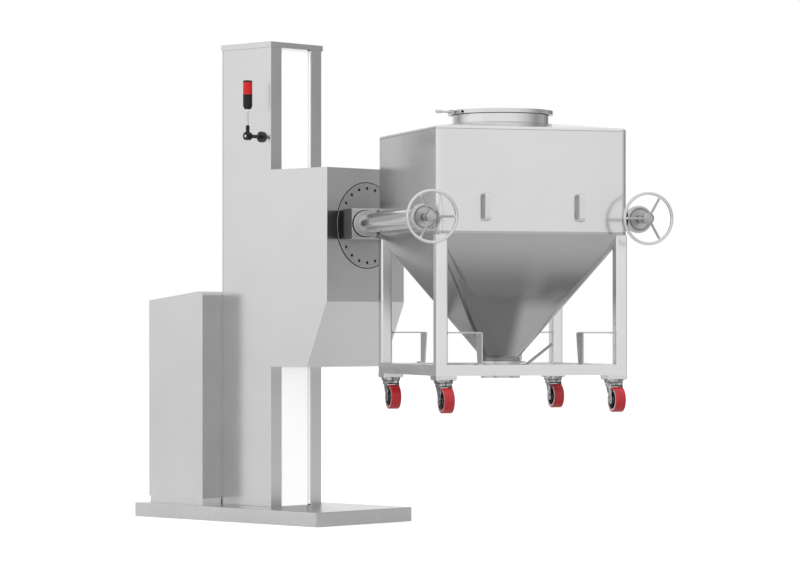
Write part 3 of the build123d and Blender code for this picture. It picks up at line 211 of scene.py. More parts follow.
def painted_grade_group():
    """Tints a color from one tone to another along a direction: painted light and shade."""
    group = new_group(
        "painted light and shade grade",
        [
            ("Position", "NodeSocketVector", (0, 0, 0)),
            ("Color", "NodeSocketColor", (1, 1, 1, 1)),
            ("Low Tint", "NodeSocketColor", (0.5, 0.5, 0.5, 1)),
            ("High Tint", "NodeSocketColor", (1, 1, 1, 1)),
            ("Direction", "NodeSocketVector", (0, 0, 1)),
            ("Low", "NodeSocketFloat", 1.0),
            ("High", "NodeSocketFloat", 1.5),
        ],
        [("Color", "NodeSocketColor")],
    )
    links = group.links
    entry = place(group, "NodeGroupInput", -900, 0)
    leave = place(group, "NodeGroupOutput", 500, 0)
    along = place(group, "ShaderNodeVectorMath", -650, -100, operation="DOT_PRODUCT")
    links.new(entry.outputs["Position"], along.inputs[0])
    links.new(entry.outputs["Direction"], along.inputs[1])
    ramp = place(group, "ShaderNodeMapRange", -400, -100, interpolation_type="SMOOTHSTEP")
    links.new(along.outputs["Value"], ramp.inputs["Value"])
    links.new(entry.outputs["Low"], ramp.inputs["From Min"])
    links.new(entry.outputs["High"], ramp.inputs["From Max"])
    tint = place(group, "ShaderNodeMix", -100, 60, data_type="RGBA", blend_type="MIX")
    links.new(ramp.outputs["Result"], tint.inputs["Factor"])
    links.new(entry.outputs["Low Tint"], tint.inputs["A"])
    links.new(entry.outputs["High Tint"], tint.inputs["B"])
    tone = multiply_colors(group, 150, 60, entry.outputs["Color"], tint.outputs["Result"])
    links.new(tone, leave.inputs["Color"])
    return group


def turned_tone_group():
    """Tints what lies near an axis and gives it the fine rings that a lathe leaves."""
    group = new_group(
        "turned tone",
        [
            ("Position", "NodeSocketVector", (0, 0, 0)),
            ("Color", "NodeSocketColor", (1, 1, 1, 1)),
            ("Centre", "NodeSocketVector", (0, 0, 0)),
            ("Axis", "NodeSocketVector", (0, 1, 0)),
            ("Tint", "NodeSocketColor", (0.7, 0.7, 0.7, 1)),
            ("Inner Radius", "NodeSocketFloat", 0.10),
            ("Outer Radius", "NodeSocketFloat", 0.11),
            ("Rings", "NodeSocketFloat", 1000.0),
            ("Ring Depth", "NodeSocketFloat", 0.1),
        ],
        [("Color", "NodeSocketColor")],
    )
    links = group.links
    entry = place(group, "NodeGroupInput", -1100, 0)
    leave = place(group, "NodeGroupOutput", 700, 0)
    offset = place(group, "ShaderNodeVectorMath", -850, -100, operation="SUBTRACT")
    links.new(entry.outputs["Position"], offset.inputs[0])
    links.new(entry.outputs["Centre"], offset.inputs[1])
    across = place(group, "ShaderNodeVectorMath", -680, -100, operation="CROSS_PRODUCT")
    links.new(offset.outputs["Vector"], across.inputs[0])
    links.new(entry.outputs["Axis"], across.inputs[1])
    radius = place(group, "ShaderNodeVectorMath", -510, -100, operation="LENGTH")
    links.new(across.outputs["Vector"], radius.inputs[0])

    near = place(group, "ShaderNodeMapRange", -330, -200)
    links.new(radius.outputs["Value"], near.inputs["Value"])
    links.new(entry.outputs["Inner Radius"], near.inputs["From Min"])
    links.new(entry.outputs["Outer Radius"], near.inputs["From Max"])
    near.inputs["To Min"].default_value = 1.0
    near.inputs["To Max"].default_value = 0.0

    phase = place(group, "ShaderNodeMath", -330, 100, operation="MULTIPLY")
    links.new(radius.outputs["Value"], phase.inputs[0])
    links.new(entry.outputs["Rings"], phase.inputs[1])
    wave = place(group, "ShaderNodeMath", -170, 100, operation="SINE")
    links.new(phase.outputs[0], wave.inputs[0])
    swell = place(group, "ShaderNodeMath", -10, 100, operation="MULTIPLY_ADD")
    links.new(wave.outputs[0], swell.inputs[0])
    links.new(entry.outputs["Ring Depth"], swell.inputs[1])
    swell.inputs[2].default_value = 1.0
    ringed = multiply_colors(group, 150, 100, entry.outputs["Tint"], swell.outputs[0])
    tone = multiply_colors(group, 400, 60, entry.outputs["Color"], ringed, near.outputs["Result"])
    links.new(tone, leave.inputs["Color"])
    return group


GRAIN = satin_grain_group()
EDGES = edge_highlight_group()
PAINTED_GRADE = painted_grade_group()
TURNED = turned_tone_group()


# The parts of a finish

def painted_grade(tree, where, color, spec, y):
    """Adds one tone of painted light and shade graded along a direction; a tone given as a dict is graded in
    its turn.
    """
    node = place(tree, "ShaderNodeGroup", -570, y, node_tree=PAINTED_GRADE)
    node.inputs["Direction"].default_value = spec["way"]
    node.inputs["Low"].default_value = spec["from"]
    node.inputs["High"].default_value = spec["to"]
    for title, key in (("Low Tint", "low"), ("High Tint", "high")):
        tone = spec[key]
        if isinstance(tone, dict):
            tree.links.new(painted_grade(tree, where, None, tone, y + 220), node.inputs[title])
        else:
            node.inputs[title].default_value = (tone, tone, tone, 1)
    tree.links.new(where, node.inputs["Position"])
    if color:
        tree.links.new(color, node.inputs["Color"])
    return node.outputs["Color"]


def turned_tone(tree, where, color, spec, y):
    """Adds the lathe's rings and a tint round each centre."""
    for centre in spec["centres"]:
        node = place(tree, "ShaderNodeGroup", -570, y, node_tree=TURNED)
        node.inputs["Centre"].default_value = centre
        node.inputs["Axis"].default_value = spec["axis"]
        node.inputs["Tint"].default_value = (spec["tint"], spec["tint"], spec["tint"], 1)
        node.inputs["Inner Radius"].default_value = spec["inner"]
        node.inputs["Outer Radius"].default_value = spec["outer"]
        node.inputs["Rings"].default_value = 2 * math.pi / spec["spacing"]
        node.inputs["Ring Depth"].default_value = spec["depth"]
        tree.links.new(where, node.inputs["Position"])
        tree.links.new(color, node.inputs["Color"])
        color = node.outputs["Color"]
        y += 260
    return color


# Painted highlight along a finish's edges.
def painted_edge_highlight(tree, color, gain, width):
    node = place(tree, "ShaderNodeGroup", -420, 160, node_tree=EDGES)
    node.inputs["Edge Width"].default_value = width
    node.inputs["Gain"].default_value = gain
    tree.links.new(color, node.inputs["Color"])
    return node.outputs["Color"]


def add_glow(tree, shader, strength):
    """White glow that the camera alone sees, so that it lights nothing."""
    rays = place(tree, "ShaderNodeLightPath", -500, -420)
    share = place(tree, "ShaderNodeMath", -280, -420, operation="MULTIPLY")
    tree.links.new(rays.outputs["Is Camera Ray"], share.inputs[0])
    share.inputs[1].default_value = strength
    shader.inputs["Emission Color"].default_value = (1, 1, 1, 1)
    tree.links.new(share.outputs[0], shader.inputs["Emission Strength"])


def finish_material(name, color, metallic, roughness, grain=900.0, unevenness=0.06, bump=0.02,
                    edge_gain=0.0, edge_width=0.004, coat=0.0, glow=0.0, specular=0.5,
                    grades=(), lathe=None, clouds=(3.2, 0.965)):
    """One finish: a shader with a grain, and tones, painted edge highlights, coat or glow where they are
    given; the tones by direction are painted light and shade and the glow is painted light.
    """
    material = bpy.data.materials.new(name)
    material.use_nodes = True
    tree = material.node_tree
    shader = tree.nodes["Principled BSDF"]
    shader.inputs["Metallic"].default_value = metallic
    shader.inputs["Specular IOR Level"].default_value = specular
    if glow:
        add_glow(tree, shader, glow)
    if coat:
        shader.inputs["Coat Weight"].default_value = coat
        shader.inputs["Coat Roughness"].default_value = 0.08

    where = place(tree, "ShaderNodeTexCoord", -1000, 0).outputs["Object"]
    surface = place(tree, "ShaderNodeGroup", -720, 0, node_tree=GRAIN)
    surface.inputs["Grain Size"].default_value = grain
    surface.inputs["Roughness"].default_value = roughness
    surface.inputs["Unevenness"].default_value = unevenness
    surface.inputs["Color"].default_value = (*color, 1)
    surface.inputs["Cloud Size"].default_value = clouds[0]
    surface.inputs["Cloud Dark"].default_value = clouds[1]
    tree.links.new(where, surface.inputs["Position"])

    tone = surface.outputs["Color"]
    # Painted light and shade, graded along directions.
    for step, spec in enumerate(grades):
        tone = painted_grade(tree, where, tone, spec, 260 + 500 * step)
    if lathe:
        tone = turned_tone(tree, where, tone, lathe, 260)
    # Painted highlight along the edges.
    if edge_gain:
        tone = painted_edge_highlight(tree, tone, edge_gain, edge_width)
    tree.links.new(tone, shader.inputs["Base Color"])
    tree.links.new(surface.outputs["Roughness"], shader.inputs["Roughness"])

    height = place(tree, "ShaderNodeBump", -250, -260)
    height.inputs["Strength"].default_value = bump
    height.inputs["Distance"].default_value = 0.001
    tree.links.new(surface.outputs["Height"], height.inputs["Height"])
    tree.links.new(height.outputs["Normal"], shader.inputs["Normal"])
    return material


def steel(name, level, roughness, blue=0.005, edge_width=0.002, **more):
    """Bare metal of a grey level that is a little bluer than even grey."""
    return finish_material(name, (level, level, level + blue), 1.0, roughness, edge_width=edge_width, **more)


def paint(name, color, roughness, **more):
    """Paint, plastic or rubber."""
    return finish_material(name, color, 0.0, roughness, **more)


# Finishes of the material slots

# edge_gain paints a highlight along a finish's edges.
FINISHES = {
    "satin_steel": steel("satin stainless sheet", 0.74, 0.24, edge_gain=0.05),
    "polished_steel": steel("polished stainless", 0.74, 0.20, blue=0.01, unevenness=0.03, edge_gain=0.1),
    "frame_steel": paint("grey painted frame", (0.20, 0.21, 0.22), 0.45, edge_gain=0.1),
    "guide_steel": steel("machined steel", 0.56, 0.28, blue=0.01, edge_width=0.004, edge_gain=0.2),
    # The strip's glow is painted light, on a strip that is no lamp.
    "pale_strip": paint("pale slot strip with painted glow", (0.95, 0.95, 0.95), 0.35, unevenness=0.03, glow=0.50),
    "slide_plastic": paint("cast nylon blocks", (0.78, 0.76, 0.68), 0.45),
    "cast_housing": paint("painted casting", (0.22, 0.26, 0.31), 0.42, grain=260.0, bump=0.12),
    "dark_spacer": paint("black painted spacer", (0.010, 0.010, 0.011), 0.36, bump=0.06, specular=0.4),
    "dark_cap": paint("dark beam cap", (0.06, 0.06, 0.064), 0.45, bump=0.06),
    "black_screw": paint("blackened screws", (0.006, 0.006, 0.006), 0.35, specular=0.25),
    "gasket_rubber": paint("white lid gasket", (0.80, 0.80, 0.78), 0.55),
    "tyre_red": paint("red cast tread", (0.55, 0.012, 0.022), 0.32, unevenness=0.1, bump=0.05, coat=0.15),
    "dark_metal": finish_material("dark lamp bracket", (0.035, 0.035, 0.038), 0.4, 0.28, bump=0.05),
    "zinc_steel": steel("bright zinc", 0.80, 0.16, blue=0.02, unevenness=0.08, edge_gain=0.2),
    "black_plastic": paint("black moulded plastic", (0.008, 0.008, 0.009), 0.20, bump=0.04, specular=0.3),
    "lamp_red": paint("red lamp lens", (0.66, 0.004, 0.006), 0.22, coat=0.2, specular=0.3),
    "bronze_nut": finish_material("bronze nut", (0.62, 0.42, 0.18), 1.0, 0.34),
}


# Finishes of single parts

def bin_sheet_finish():
    """Ground sheet with painted reflections on the hopper: it is darker than the walls, as if the shaded
    floor under the bin showed in it, its left half most, but less so near the outlet.
    """
    middle_u = BIN_MIDDLE.dot(ACROSS)
    hopper_top, seam = 1.509, 0.003
    # Painted reflections: the hopper darker below the seam, darker still low on its left half, and its right
    # half lighter near the outlet.
    hopper = {"way": UP, "from": hopper_top - seam, "to": hopper_top + seam, "low": 0.63, "high": 1.0}
    right_half_reflection = {"way": UP, "from": 1.10, "to": 1.22, "low": 1.03, "high": 0.56}
    halves_reflection = {
        "way": ACROSS, "from": middle_u - 0.02, "to": middle_u + 0.06,
        "low": 0.43, "high": right_half_reflection,
    }
    lower_hopper_reflection = {"way": UP, "from": 1.20, "to": 1.47, "low": halves_reflection, "high": 1.0}
    return steel("ground bin sheet with painted hopper reflections", 0.77, 0.19, unevenness=0.05, grades=(hopper, lower_hopper_reflection))


def cabinet_sheet_finish():
    """Satin sheet whose front face, which stands against the mast's back, is painted darker: painted shade.
    """
    # Painted shade on the face behind the mast.
    front_face_shade = {
        "way": (0, 1, 0), "from": MAST_BACK + 0.0005, "to": MAST_BACK + 0.0025,
        "low": 0.68, "high": 1.0,
    }
    return steel("cabinet sheet with painted front shade", 0.74, 0.24, edge_gain=0.05, grades=(front_face_shade,))


def disc_face_finish():
    """Turned face with fine rings all over."""
    rings = {
        "centres": [Vector((DISC_AT.x, 0.0, ARM_Z))], "axis": (0, 1, 0), "tint": 1.0,
        "inner": 0.225, "outer": 0.226, "spacing": 0.005, "depth": 0.02,
    }
    return steel("turned disc face", 0.62, 0.23, edge_gain=0.1, lathe=rings)


def arm_rings(tint, inner, outer, spacing, depth):
    """Lathe's rings round both arms' axes, out to a radius where they fade."""
    centres = [BIN_MIDDLE + ACROSS * side * ARM_U + UP * ARM_Z for side in (-1, 1)]
    return {
        "centres": centres, "axis": BACKWARD, "tint": tint,
        "inner": inner, "outer": outer, "spacing": spacing, "depth": depth,
    }


BIN_SHEET = bin_sheet_finish()
# edge_gain paints a highlight along these finishes' edges too.
FRAME_TUBE = steel("bright ground tube", 0.86, 0.24, edge_gain=0.1)
GUIDE_BAR = steel("fork guide bar", 0.60, 0.26, blue=0.01, edge_width=0.001, edge_gain=0.1)
BEAM_SHEET = steel("ground beam sheet", 0.50, 0.22, blue=0.01, edge_gain=0.1)
CABINET_SHEET = cabinet_sheet_finish()
BASE_SHEET = steel("floor plate sheet", 0.68, 0.27, edge_gain=0.08)
DISC_FACE = disc_face_finish()
COLLAR_STEEL = steel(
    "turned collar", 0.60, 0.27, blue=0.01,
    lathe=arm_rings(tint=0.84, inner=0.066, outer=0.0675, spacing=0.012, depth=0.14),
)
# The tint of 0.62 near the handwheels' axis darkens hub and spokes: painted shade.
WHEEL_STEEL = steel(
    "polished handwheel with painted hub shade", 0.74, 0.18, blue=0.01, unevenness=0.03,
    lathe=arm_rings(tint=0.62, inner=0.108, outer=0.116, spacing=0.010, depth=0.10),
)
ARM_SHEET = steel("polished arm tube", 0.86, 0.13, unevenness=0.03)
VALVE_SHEET = steel("valve body", 0.74, 0.20)
LEVER_ROD = steel("valve lever rod", 0.42, 0.22, blue=0.01)
# clouds=(44.0, 0.03) paints dark blotches that stand for reflections in the chrome: painted reflections.
FORK_CHROME = steel("chromed caster fork with painted reflections", 0.70, 0.10, blue=0.02, unevenness=0.05, clouds=(44.0, 0.03))
WELD_STEEL = steel("weld bead", 0.52, 0.34, blue=0.01, grain=120.0, unevenness=0.2, bump=0.5)
BLACK_CORE = paint("black wheel core", (0.010, 0.010, 0.011), 0.40, bump=0.08)
# Black for rings and blocks put where shade falls: painted shade.
BLACK_SHADE = paint("black painted shade", (0.012, 0.012, 0.012), 0.50, specular=0.3)

OWN_FINISHES = {
    "bin_shell": BIN_SHEET,
    "bin_frame": FRAME_TUBE,
    "fork_guides": GUIDE_BAR,
    "cross_beam": BEAM_SHEET,
    "cabinet_shell": CABINET_SHEET,
    "base_plate": BASE_SHEET,
    "rotor_disc": DISC_FACE,
    "arm_collars": COLLAR_STEEL,
    "left_handwheel": WHEEL_STEEL,
    "right_handwheel": WHEEL_STEEL,
    "arm_tubes": ARM_SHEET,
    "valve_body": VALVE_SHEET,
    "valve_lever": LEVER_ROD,
}
for corner, _, _ in CORNERS:
    OWN_FINISHES[f"{corner}_caster_fork"] = FORK_CHROME

node_slots = {part["node"]: part["material_slot"] for part in frame["record"]["subparts"]}
for name, node in nodes.items():
    node.data.materials.clear()
    node.data.materials.append(OWN_FINISHES.get(name, FINISHES[node_slots[name]]))


# Shapes, each made round the origin with bmesh operators

def turned(profile, sides=40):
    """Lathe work: a profile of radius and height spun round Z."""
    shape = bmesh.new()
    rim = [shape.verts.new((radius, 0.0, height)) for radius, height in profile]
    line = [shape.edges.new(pair) for pair in zip(rim, rim[1:])]
    bmesh.ops.spin(
        shape, geom=rim + line, cent=(0, 0, 0), axis=(0, 0, 1), angle=2 * math.pi,
        steps=sides, use_merge=True,
    )
    return shape


def ring(radius, section, sides=64, flat=1.0):
    """Ring of round section, flattened along its axis by flat."""
    points = 8
    profile = []
    for step in range(points + 1):
        angle = 2 * math.pi * step / points
        profile.append((radius + section * math.cos(angle), section * flat * math.sin(angle)))
    return turned(profile, sides)


def bevel_sharp(shape, width):
    """Bevels every edge where two faces meet at more than half a radian."""
    sharp = [edge for edge in shape.edges if edge.is_manifold and edge.calc_face_angle(0) > 0.5]
    bmesh.ops.bevel(
        shape, geom=sharp, offset=width, segments=2, profile=0.5, affect="EDGES", material=-1,
        clamp_overlap=True,
    )


def block(width, depth, height, edge):
    """Block with bevelled edges, its middle at the origin."""
    shape = bmesh.new()
    bmesh.ops.create_cube(shape, size=1.0)
    bmesh.ops.scale(shape, vec=(width, depth, height), verts=shape.verts)
    bevel_sharp(shape, edge)
    return shape


def hex_head(across_flats, height):
    """Hexagon bolt head on a washer."""
    edge = 0.0006
    radius = across_flats / math.sqrt(3)
    washer_radius, washer_top = radius * 1.25, height * 0.2
    shape = bmesh.new()
    bmesh.ops.create_cone(
        shape, cap_ends=True, segments=6, radius1=radius, radius2=radius, depth=height,
        matrix=Matrix.Translation((0, 0, height / 2)),
    )
    bevel_sharp(shape, edge)
    washer = turned([(0, 0), (washer_radius, 0), (washer_radius, washer_top), (0, washer_top)], 24)
    return joined(shape, washer)


def button_head(width, height):
    """Domed screw head with a round socket sunk in it."""
    return turned([
        (0, 0), (width / 2, 0), (width / 2, height * 0.25), (width * 0.44, height * 0.65),
        (width * 0.3, height * 0.95), (width * 0.24, height), (width * 0.20, height * 0.5), (0, height * 0.5),
    ], 18)


def bead(length, radius):
    """Weld bead along Z: a round run whose skin is raised in ripples."""
    ripple, pitch, end_radius = 1.22, radius * 1.6, radius * 0.7
    shape = bmesh.new()
    bmesh.ops.create_circle(shape, cap_ends=True, segments=8, radius=end_radius)
    steps = max(6, int(length / pitch))
    for step in range(steps):
        top = max(shape.faces, key=lambda face: face.calc_center_median().z)
        grown = bmesh.ops.extrude_discrete_faces(shape, faces=[top])["faces"][0]
        bmesh.ops.translate(shape, vec=(0, 0, length / steps), verts=grown.verts)
        swell = ripple if step % 2 == 0 else 1 / ripple
        middle = Matrix.Translation(-grown.calc_center_median())
        bmesh.ops.scale(shape, vec=(swell, swell, 1), space=middle, verts=grown.verts)
    return shape


def bead_corner(radius, section):
    """Quarter turn of a round weld bead, about Z, from +X to +Y."""
    shape = bmesh.new()
    end = bmesh.ops.create_circle(shape, segments=8, radius=section)["verts"]
    stand_up = Matrix.Translation((radius, 0, 0)) @ Matrix.Rotation(math.pi / 2, 4, "X")
    bmesh.ops.transform(shape, matrix=stand_up, verts=end)
    bmesh.ops.spin(shape, geom=shape.edges[:], cent=(0, 0, 0), axis=(0, 0, 1), angle=math.pi / 2, steps=8)
    return shape


def joined(*shapes):
    """All shapes in the first one; the others are used up."""
    whole = shapes[0]
    for part in shapes[1:]:
        carrier = bpy.data.meshes.new("carrier")
        part.to_mesh(carrier)
        part.free()
        whole.from_mesh(carrier)
        bpy.data.meshes.remove(carrier)
    return whole


# Putting shapes in place

def stand(at, way, side=None):
    """Matrix that puts a shape made round its own Z at a point, with Z along way."""
    up = Vector(way).normalized()
    first = Vector(side or (UP if abs(up.z) < 0.9 else ACROSS))
    first = (first - up * first.dot(up)).normalized()
    second = up.cross(first)
    turn = Matrix((first, second, up)).transposed().to_4x4()
    return Matrix.Translation(at) @ turn


def placed(shape, matrix):
    bmesh.ops.transform(shape, matrix=matrix, verts=shape.verts)
    return shape


def moved(shape, at):
    return placed(shape, Matrix.Translation(at))


def screw_at(at, way, width, height):
    """Domed screw that stands on a face at a point and looks along way."""
    return placed(button_head(width, height), stand(at, way))


def bead_between(start, end, radius):
    way = end - start
    return placed(bead(way.length, radius), stand(start, way))


def corner_beads(runs):
    """Weld runs given for one corner of the bin, repeated at all four."""
    beads = []
    for su in (-1, 1):
        for sn in (-1, 1):
            for (u1, n1, z1), (u2, n2, z2), radius in runs:
                start = bin_point(su * u1, sn * n1, z1)
                end = bin_point(su * u2, sn * n2, z2)
                beads.append(bead_between(start, end, radius))
    return beads


def make_piece(name, shapes, body, slot, material=None):
    """Joins shapes into one object that rides on a body; its finish is its slot's, unless one is given."""
    whole = joined(*shapes)
    bmesh.ops.remove_doubles(whole, verts=whole.verts, dist=0.000002)
    bmesh.ops.recalc_face_normals(whole, faces=whole.faces)
    data = bpy.data.meshes.new(name)
    whole.to_mesh(data)
    whole.free()
    data.shade_smooth()
    data.set_sharp_from_angle(angle=math.radians(40))
    data.materials.append(material or FINISHES[slot])
    piece = bpy.data.objects.new(name, data)
    bpy.context.scene.collection.objects.link(piece)
    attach(piece, body)


# Mast

def glowing_slot_liners():
    """Glowing white liners on the posts' inner faces, beside the strip: painted light that makes the shaded
    gap white.
    """
    thick, depth, front_gap = 0.0008, 0.090, 0.005
    low, high = BASE_TOP + 0.004, MAST_TOP - 0.030
    y = MAST_FRONT + front_gap + depth / 2
    for name, face_x, side in (("left", SLOT_LEFT, 1), ("right", SLOT_RIGHT, -1)):
        liner = block(thick, depth, high - low, thick / 4)
        at = (face_x + side * thick / 2, y, (low + high) / 2)
        make_piece(f"glowing_slot_liner_{name}", [moved(liner, at)], "root", "pale_strip")


def mast_foot_welds():
    """Weld runs where the two posts stand on the floor plate."""
    radius = 0.0028
    runs = (
        ((MAST_LEFT, MAST_FRONT), (MAST_LEFT, MAST_BACK)),
        ((MAST_RIGHT, MAST_FRONT), (MAST_RIGHT, MAST_BACK)),
        ((MAST_LEFT, MAST_FRONT), (SLOT_LEFT, MAST_FRONT)),
        ((SLOT_RIGHT, MAST_FRONT), (MAST_RIGHT, MAST_FRONT)),
    )
    beads = [
        bead_between(Vector((*start, BASE_TOP)), Vector((*end, BASE_TOP)), radius) for start, end in runs
    ]
    make_piece("mast_foot_welds", beads, "root", "satin_steel", WELD_STEEL)


def back_panel_screws():
    """Two upright rows of screws that hold the mast's back panel."""
    inset, lowest, pitch, rows = 0.022, 1.29, 0.2, 7
    screws = []
    for x in (MAST_LEFT + inset, MAST_RIGHT - inset):
        for step in range(rows):
            at = (x, MAST_BACK, lowest + pitch * step)
            screws.append(screw_at(at, (0, 1, 0), width=0.014, height=0.004))
    make_piece("back_panel_screws", screws, "root", "polished_steel")


def cap_screws():
    """Six screws through the mast's cap."""
    inset, cap_top = 0.03, MAST_TOP + 0.003
    screws = []
    for x in (MAST_LEFT + inset, (MAST_LEFT + MAST_RIGHT) / 2, MAST_RIGHT - inset):
        for y in (MAST_FRONT + inset, MAST_BACK - inset):
            screws.append(screw_at((x, y, cap_top), UP, width=0.012, height=0.0035))
    make_piece("cap_screws", screws, "root", "polished_steel")


# Signal lamp

def lamp_flange_screws():
    """Three screws through the bracket's round flange on the mast."""
    circle, flange_face = 0.021, MAST_LEFT - 0.012
    screws = []
    for angle in (90, 210, 330):
        way = math.radians(angle)
        at = (flange_face, LAMP_Y + circle * math.cos(way), LAMP_Z + circle * math.sin(way))
        screws.append(screw_at(at, (-1, 0, 0), width=0.007, height=0.0025))
    make_piece("lamp_flange_screws", screws, "root", "black_screw", FINISHES["dark_metal"])


def lamp_pole_sleeve():
    """Bright sleeve on the pole, under the lamp's black base."""
    inner, outer, low, high = 0.0046, 0.0053, 2.1085, 2.1948
    sleeve = turned([(inner, low), (outer, low + 0.001), (outer, high - 0.0003), (inner, high)], 20)
    make_piece(
        "lamp_pole_sleeve", [moved(sleeve, (LAMP_X, LAMP_Y, 0))], "beacon", "polished_steel",
        FINISHES["zinc_steel"],
    )


def lamp_lens_bands():
    """Black bands below and above the red lens."""
    inner, outer, edge = 0.0245, 0.0256, 0.0008
    bands = []
    for low, high in ((2.268, 2.2735), (2.3375, 2.3435)):
        band = turned([(inner, low), (outer, low + edge), (outer, high - edge), (inner, high)], 40)
        bands.append(moved(band, (LAMP_X, LAMP_Y, 0)))
    make_piece("lamp_lens_bands", bands, "beacon", "black_plastic")


def lamp_knuckle_screw():
    """Clamp screw of the knuckle that the pole tilts on."""
    knuckle_face = LAMP_X - 0.0165
    screw = screw_at((knuckle_face, LAMP_Y, LAMP_Z), (-1, 0, 0), width=0.016, height=0.004)
    make_piece("lamp_knuckle_screw", [screw], "beacon", "polished_steel")


# Cabinet

def door_louvres():
    """Two banks of pressed louvres on the cabinet's rear door."""
    half_length, end_taper, radius, flat = 0.13, 0.0075, 0.0075, 0.55
    middle_x, door_face, pitch = -0.02, 0.6455, 0.026
    straight = half_length - end_taper
    louvres = []
    for bank in (0.30, 0.955):
        for step in range(4):
            hood = turned([(0, -half_length), (radius, -straight), (radius, straight), (0, half_length)], 24)
            bmesh.ops.scale(hood, vec=(1.0, flat, 1.0), verts=hood.verts)
            at = Vector((middle_x, door_face, bank + pitch * step))
            louvres.append(placed(hood, stand(at, (1, 0, 0), (0, 0, 1))))
    make_piece("door_louvres", louvres, "door", "satin_steel")


# Carriage

def disc_gap_shade():
    """Dark ring in the gap round the turning disc: painted shade."""
    radius, section, proud = 0.2276, 0.0022, 0.0002
    at = DISC_AT - Vector((0, proud, 0))
    seal = placed(ring(radius, section, 120), stand(at, (0, -1, 0)))
    make_piece("disc_gap_shade", [seal], "carriage", "black_plastic", BLACK_SHADE)


def side_cover():
    """Screwed cover on the carriage's right side."""
    thick, width, height, edge = 0.002, 0.30, 0.46, 0.0008
    screw_in = 0.015
    middle = Vector((0.4265, -0.385, 1.52))
    cover = block(thick, width, height, edge)
    screws = []
    for y in (-1, 0, 1):
        for z in (-1, 0, 1):
            if y or z:
                step = Vector((thick / 2, y * (width / 2 - screw_in), z * (height / 2 - screw_in)))
                screws.append(screw_at(middle + step, (1, 0, 0), width=0.012, height=0.0035))
    make_piece("side_cover", [moved(cover, middle)], "carriage", "satin_steel")
    make_piece("side_cover_screws", screws, "carriage", "polished_steel")


# Arms

def arm_ring(side, n, radius, section, sides=72):
    """Ring round one arm's axis, n backward of the bin's middle."""
    return placed(ring(radius, section, sides), stand(bin_point(side * ARM_U, n, ARM_Z), -BACKWARD))


def arm_trim():
    """Weld rings at the root collars, and dark rings of painted shade at the root collars and on the end
    collars.
    """
    sides = (-1, 1)
    root_collar_face, beam_face = 0.5045, 0.5232
    end_collar_front, end_collar_back = -0.5100, -0.4695
    welds = [arm_ring(side, root_collar_face, 0.0515, 0.0022) for side in sides]
    root_shade_rings = [arm_ring(side, beam_face, 0.0688, 0.0024, 96) for side in sides]
    end_shade_rings = []
    for side in sides:
        end_shade_rings.append(arm_ring(side, end_collar_front, 0.0520, 0.0016))
        end_shade_rings.append(arm_ring(side, end_collar_back, 0.0545, 0.0012))
    make_piece("arm_root_welds", welds, "rotor", "satin_steel", WELD_STEEL)
    make_piece("arm_root_shade_rings", root_shade_rings, "rotor", "dark_spacer", BLACK_SHADE)
    make_piece("collar_shade_rings", end_shade_rings, "rotor", "dark_spacer", BLACK_SHADE)


# Bin

def frame_welds():
    """Welds of the rails to the corner posts and of the fork guides to both."""
    leg_in, rail_in = 0.440, 0.450
    rail_low, rail_high, rail_top = 0.799, 0.848, 0.8495
    rail_start, rail_end = 0.452, 0.498
    guide_u, guide_top, guide_foot = 0.2895, 1.0045, 0.8505
    guide_top_start, guide_foot_start, guide_end = 0.412, 0.442, 0.496
    runs = (
        ((leg_in, rail_start, rail_top), (leg_in, rail_end, rail_top), 0.0022),
        ((rail_start, leg_in, rail_top), (rail_end, leg_in, rail_top), 0.0022),
        ((leg_in, rail_in, rail_low), (leg_in, rail_in, rail_high), 0.0020),
        ((rail_in, leg_in, rail_low), (rail_in, leg_in, rail_high), 0.0020),
        ((leg_in, guide_top_start, guide_top), (leg_in, guide_end, guide_top), 0.0018),
        ((guide_u, guide_foot_start, guide_foot), (guide_u, guide_end, guide_foot), 0.0018),
    )
    make_piece("frame_welds", corner_beads(runs), "bin", "satin_steel", WELD_STEEL)


def leg_top_welds():
    """Ground welds that close the slit between each leg's top and the shell, on its two outer faces."""
    inner, outer, face, z, radius = 0.4425, 0.4885, 0.4962, 1.4943, 0.0036
    runs = (
        ((inner, face, z), (outer, face, z), radius),
        ((face, inner, z), (face, outer, z), radius),
    )
    make_piece("leg_top_welds", corner_beads(runs), "bin", "satin_steel", FRAME_TUBE)


def shell_welds():
    """Welds round the neck and the outlet, and at the ends of the two bow handles."""
    neck_radius, neck_foot = 0.2458, 2.0664
    outlet_radius, outlet_top = 0.0962, 0.8840
    handle_u, handle_z, handle_half, handle_half_width = 0.246, 1.627, 0.065, 0.0145
    lip, wall, radius = 0.0034, -0.5002, 0.0016
    beads = [
        moved(ring(neck_radius, 0.0018, 120, 0.8), bin_point(0, 0, neck_foot)),
        moved(ring(outlet_radius, 0.0016, 72), bin_point(0, 0, outlet_top)),
    ]
    for side in (-1, 1):
        for end in (-1, 1):
            for below in (-1, 1):
                z = handle_z + end * handle_half + below * lip
                start = bin_point(side * handle_u - handle_half_width, wall, z)
                stop = bin_point(side * handle_u + handle_half_width, wall, z)
                beads.append(bead_between(start, stop, radius))
    make_piece("shell_welds", beads, "bin", "satin_steel", WELD_STEEL)


